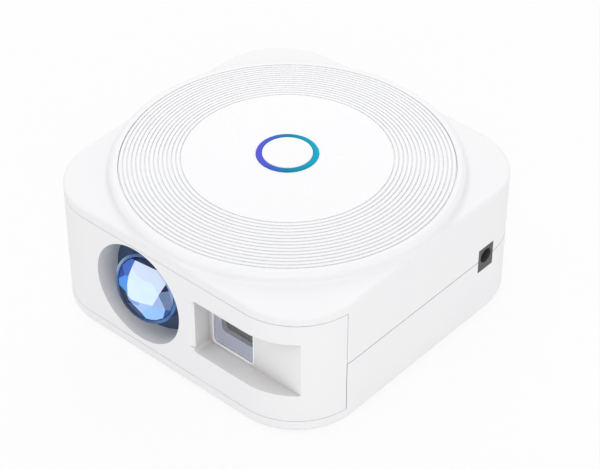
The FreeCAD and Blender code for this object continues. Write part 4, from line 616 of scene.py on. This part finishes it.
rippled_acrylic = clear_plastic(
    "clear_acrylic_rippled", "#F2F6FA",
    roughness=0.03, wave_mm=RIPPLE_MM, wave_height_mm=RIPPLE_HEIGHT_MM,
)
dress(rippled_acrylic, "ripple_wheel")
acetal = moulded(
    "natural_acetal_moulded", "#ECEAE2", "#E2DFD5",
    roughness=0.34, grain_mm=0.6, grain_height_mm=0.008, flow_mm=5.0, Subsurface_Weight=0.1,
)
dress(acetal, "drive_pinion")
nebula_can = worked_metal(
    "steel_drawn_can_tilted", **CAN_FINISH,
    origin=middle_of("nebula_motor"), turn=lens_angles, lie=(1, 1, 14),
)
dress(nebula_can, "nebula_motor")
shaft_steel = worked_metal(
    "steel_ground_shaft", light="#CFD0D2", dark="#B9BBBE",
    roughness=0.2, spot_mm=2.0, mark_mm=0.3, mark_depth_mm=0.004, lie=(1, 8, 1),
)
dress(shaft_steel, "nebula_shaft", "star_shaft", "wheel_axle")

# Brackets
# The gear plate, the light tube and the star bracket are dark grey nylon with glass fibre. The fibre
# leaves a dull skin with faint pale flow marks, and their screws cut their own threads in it.
glass_nylon = moulded(
    "dark_nylon_glass_filled", "#303136", "#3B3C41",
    roughness=0.58, grain_mm=0.6, grain_height_mm=0.03, flow_mm=9.0,
)
dress(glass_nylon, "gear_plate", "light_tube", "star_bracket")

# Lamp, condenser and heat sink
# The lamps' light goes through a thick clear acrylic lens in the tube. Behind their board sits a
# heat sink of extruded aluminium, with fine die lines along its fins and a bright cut at its ends.
DIE_LINE_MM = 0.5

polished_acrylic = clear_plastic(
    "clear_acrylic_polished", "#F8FAFC",
    roughness=0.01, wave_mm=9.0, wave_height_mm=0.01,
)
dress(polished_acrylic, "condenser_lens")
extruded = worked_metal(
    "aluminium_extruded", light="#D2D4D6", dark="#BEC1C4",
    roughness=0.36, spot_mm=8.0, mark_mm=DIE_LINE_MM, mark_depth_mm=0.02,
    origin=middle_of("heat_sink"), turn=lens_angles, lie=(1, 20, 1),
)
dress(extruded, "heat_sink")

# Laser window
# A pane of clear acrylic with a faint violet tint, in front of a pale violet frame whose square
# opening is dark. The bevel round the pane's front is ground and white, and a painted glow on it
# makes it show as a thin white line.
PANE_BEVEL_MM = 0.5
# Painted glow on the ground bevel, which makes its thin white line
PANE_EDGE_PAINTED_GLOW = 0.3  # the light that the pane gathers and lets out at its ground edge
PANE_CORNER_MM = 1.7
PANE_CORNER_STEPS = 6
PANE_FREE_MM = 0.05  # air between the pane and the frame
PANE_ROUGHNESS = 0.01, 0.03

pane_low, pane_high = (Vector(corner) * MM_PER_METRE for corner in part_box("window_glass"))
pane_block = bmesh.new()


def pane_ring(depth, inset):
    """The pane's rounded outline at one depth."""
    radius = PANE_CORNER_MM - inset
    ring = []
    for quarter, (side_x, side_z) in enumerate(((1, 1), (-1, 1), (-1, -1), (1, -1))):
        x = pane_high.x if side_x > 0 else pane_low.x
        z = pane_high.z if side_z > 0 else pane_low.z
        middle = (x - side_x * PANE_CORNER_MM, z - side_z * PANE_CORNER_MM)
        for step in range(PANE_CORNER_STEPS + 1):
            angle = math.pi / 2 * (quarter + step / PANE_CORNER_STEPS)
            ring.append(pane_block.verts.new((
                middle[0] + radius * math.cos(angle), depth, middle[1] + radius * math.sin(angle),
            )))
    return ring


pane_rings = [
    pane_ring(pane_high.y - PANE_FREE_MM, 0.0),
    pane_ring(pane_low.y + PANE_BEVEL_MM, 0.0),
    pane_ring(pane_low.y, PANE_BEVEL_MM),
]
for number, (ring, ahead) in enumerate(zip(pane_rings, pane_rings[1:])):
    for here in range(len(ring)):
        after = (here + 1) % len(ring)
        band = pane_block.faces.new([ring[here], ring[after], ahead[after], ahead[here]])
        band.material_index = number
pane_block.faces.new(pane_rings[0])
pane_block.faces.new(pane_rings[-1])
bmesh.ops.recalc_face_normals(pane_block, faces=pane_block.faces)
bmesh.ops.transform(pane_block, verts=pane_block.verts, matrix=Matrix.Scale(1 / MM_PER_METRE, 4))
pane_mesh = bpy.data.meshes.new("bevelled_pane")
pane_block.to_mesh(pane_mesh)
pane_block.free()

pane_acrylic = blank_material("violet_acrylic_pane")
pane_wave = cloud(pane_acrylic, placed(pane_acrylic), size_mm=14.0, detail=1.0)
surface(
    pane_acrylic, {"IOR": ACRYLIC_INDEX, "Transmission Weight": 1.0},
    {
        "Base Color": two_tone(pane_acrylic, pane_wave, "#F2F4FA", "#F6F8FC"),
        "Roughness": between(pane_acrylic, pane_wave, *PANE_ROUGHNESS),
        "Normal": relief(pane_acrylic, pane_wave, depth_mm=0.01),
    },
)
pane_mesh.materials.append(pane_acrylic)
pane_edge_painted_glow = moulded(
    "violet_acrylic_ground_edge_painted_glow", "#FCFCFF", "#F4F4FA",
    roughness=0.55, grain_mm=0.6, grain_height_mm=0.002, flow_mm=4.0,
    Emission_Color=(1, 1, 1, 1), Emission_Strength=PANE_EDGE_PAINTED_GLOW,
)
pane_mesh.materials.append(pane_edge_painted_glow)
bevelled_pane = in_scene("bevelled_pane", pane_mesh)
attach(bevelled_pane, "case")
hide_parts("window_glass")
frame_abs = moulded(
    "pale_violet_abs", "#F2F4FF", "#EAECFA",
    roughness=0.5, grain_mm=0.5, grain_height_mm=0.015, flow_mm=10.0,
)
dress(frame_abs, "window_frame")

# Star wheel and laser
# The laser shines through a clear wheel whose face is embossed with fine straight grating lines,
# which part its beam into stars. The laser sits in a turned brass barrel, held by the bracket.
GRATING_PITCH_MM = 0.4  # the real lines are under 0.01 mm apart, drawn coarser so that they show
GRATING_ROUGHNESS = 0.08, 0.16
POLYESTER_INDEX = 1.57
BRASS_PITCH_MM = 0.5
BRASS_ROUGHNESS = 0.2, 0.34

grating = blank_material("clear_polyester_embossed")
grating_lines = add(
    grating, "ShaderNodeTexWave", {"Scale": wave_scale(GRATING_PITCH_MM)},
    {"Vector": placed(grating)}, wave_type="BANDS", bands_direction="X",
).outputs["Fac"]
surface(
    grating, {"IOR": POLYESTER_INDEX, "Transmission Weight": 1.0},
    {
        "Base Color": two_tone(grating, grating_lines, "#E4ECF4", "#F4ECF6"),
        "Roughness": between(grating, grating_lines, *GRATING_ROUGHNESS),
        "Normal": relief(grating, grating_lines, depth_mm=0.03),
    },
)
dress(grating, "grating_wheel")

star_can = worked_metal(
    "steel_drawn_can", **CAN_FINISH, origin=middle_of("star_motor"), lie=(1, 14, 1),
)
dress(star_can, "star_motor")

brass = blank_material("brass_turned")
brass_spot = placed(brass, middle_of("laser_barrel"))
brass_marks = add(
    brass, "ShaderNodeTexWave", {"Scale": wave_scale(BRASS_PITCH_MM), "Distortion": 0.3},
    {"Vector": brass_spot}, wave_type="BANDS", bands_direction="Y",
).outputs["Fac"]
brass_skin = cloud(brass, brass_spot, size_mm=5.0, detail=3.0)
surface(
    brass, {"Metallic": 1.0},
    {
        "Base Color": two_tone(brass, brass_skin, "#B8924A", "#CFAA62"),
        "Roughness": between(brass, brass_skin, *BRASS_ROUGHNESS),
        "Normal": relief(brass, brass_marks, depth_mm=0.01),
    },
)
dress(brass, "laser_barrel")

# Power socket
# A barrel socket in dark grey nylon, held between the shells at the right side. Its centre pin is
# nickel-plated brass in a dark, dull grey.
# Painted shade deep in the plug's bore, which darkens the hole.
SOCKET_PAINTED_SHADE = "#0E0E0F", 6.0, True  # deep in the plug's bore

socket_nylon = moulded(
    "dark_nylon_moulded_painted_shade", "#4E4E4F", "#545455",
    roughness=0.55, grain_mm=0.4, grain_height_mm=0.02, flow_mm=7.0, hollow=SOCKET_PAINTED_SHADE,
)
dress(socket_nylon, "dc_jack")
pin_nickel = worked_metal(
    "brass_nickel_plated", light="#8E8B84", dark="#77746D",
    roughness=0.45, spot_mm=1.0, mark_mm=0.3, mark_depth_mm=0.01, lie=(8, 1, 1),
)
dress(pin_nickel, "jack_pin")

# Floor
# A white paper sweep. The camera and the reflections see it nearly white, with the object's shadow
# still on it.
FLOOR_REACH = 3.0
FLOOR_DROP = 0.00002  # just clear of the feet
FLOOR_GLOW = 0.87
PAPER_WHITE = "#F4F4F4"

floor_mesh = bpy.data.meshes.new("floor")
floor_mesh.from_pydata(
    [(x * FLOOR_REACH, y * FLOOR_REACH, -FLOOR_DROP) for x, y in ((-1, -1), (1, -1), (1, 1), (-1, 1))],
    [], [(0, 1, 2, 3)],
)
floor = in_scene("floor", floor_mesh)


def seen_directly(material):
    """1 where the camera, a reflection or a see-through part looks at the surface, and else 0."""
    path = add(material, "ShaderNodeLightPath").outputs
    seen = path["Is Camera Ray"]
    for other in ("Is Glossy Ray", "Is Transmission Ray"):
        seen = add(
            material, "ShaderNodeMath", links={0: seen, 1: path[other]}, operation="MAXIMUM",
        ).outputs[0]
    return seen


floor_paper = blank_material("white_paper_sweep")
paper_fibre = cloud(floor_paper, placed(floor_paper), size_mm=1.5)
paper = add(
    floor_paper, "ShaderNodeBsdfPrincipled", {"Base Color": linear(PAPER_WHITE), "Roughness": 0.9},
    {"Normal": relief(floor_paper, paper_fibre, depth_mm=0.02, strength=0.2)},
)
glow = add(floor_paper, "ShaderNodeEmission", {"Color": (1, 1, 1, 1), "Strength": 1.0})
share = add(
    floor_paper, "ShaderNodeMath", {1: FLOOR_GLOW}, {0: seen_directly(floor_paper)},
    operation="MULTIPLY",
).outputs[0]
sweep = add(
    floor_paper, "ShaderNodeMixShader",
    links={"Fac": share, 1: paper.outputs["BSDF"], 2: glow.outputs["Emission"]},
)
add(floor_paper, "ShaderNodeOutputMaterial", links={"Surface": sweep.outputs["Shader"]})
floor_mesh.materials.append(floor_paper)

# Light
# A white tent lights everything evenly, and a few large soft lamps add the photograph's slow fall of
# light over the top and the walls.
TENT_STRENGTH = 0.815
LAMPS = (
    ("over_lamp", (-0.2, -0.3, 1.4), 1.2, 2.1),
    ("back_lamp", (-0.8, 0.9, 0.9), 0.8, 1.9),
    ("right_lamp", (1.1, 0.1, 0.4), 0.7, 0.5),
    ("corner_lamp", (0.9, -0.9, 0.8), 0.8, 2.5),
)
LIT_SPOT = Vector((0, 0, 0.03))

tent = bpy.data.worlds.new("white_tent")
bpy.context.scene.world = tent
tent.use_nodes = True
tent.node_tree.nodes.clear()
tent_light = add(tent, "ShaderNodeBackground", {"Color": (1, 1, 1, 1), "Strength": TENT_STRENGTH})
tent_white = add(tent, "ShaderNodeBackground", {"Color": (1, 1, 1, 1), "Strength": 1.0})
tent_mix = add(
    tent, "ShaderNodeMixShader",
    links={"Fac": seen_directly(tent), 1: tent_light.outputs[0], 2: tent_white.outputs[0]},
)
add(tent, "ShaderNodeOutputWorld", links={"Surface": tent_mix.outputs[0]})

for name, place, size, watts in LAMPS:
    lamp_data = bpy.data.lights.new(name, "AREA")
    lamp_data.shape = "SQUARE"
    lamp_data.size = size
    lamp_data.energy = watts
    lamp = in_scene(name, lamp_data)
    lamp.location = place
    lamp.rotation_euler = (LIT_SPOT - Vector(place)).to_track_quat("-Z", "Y").to_euler()
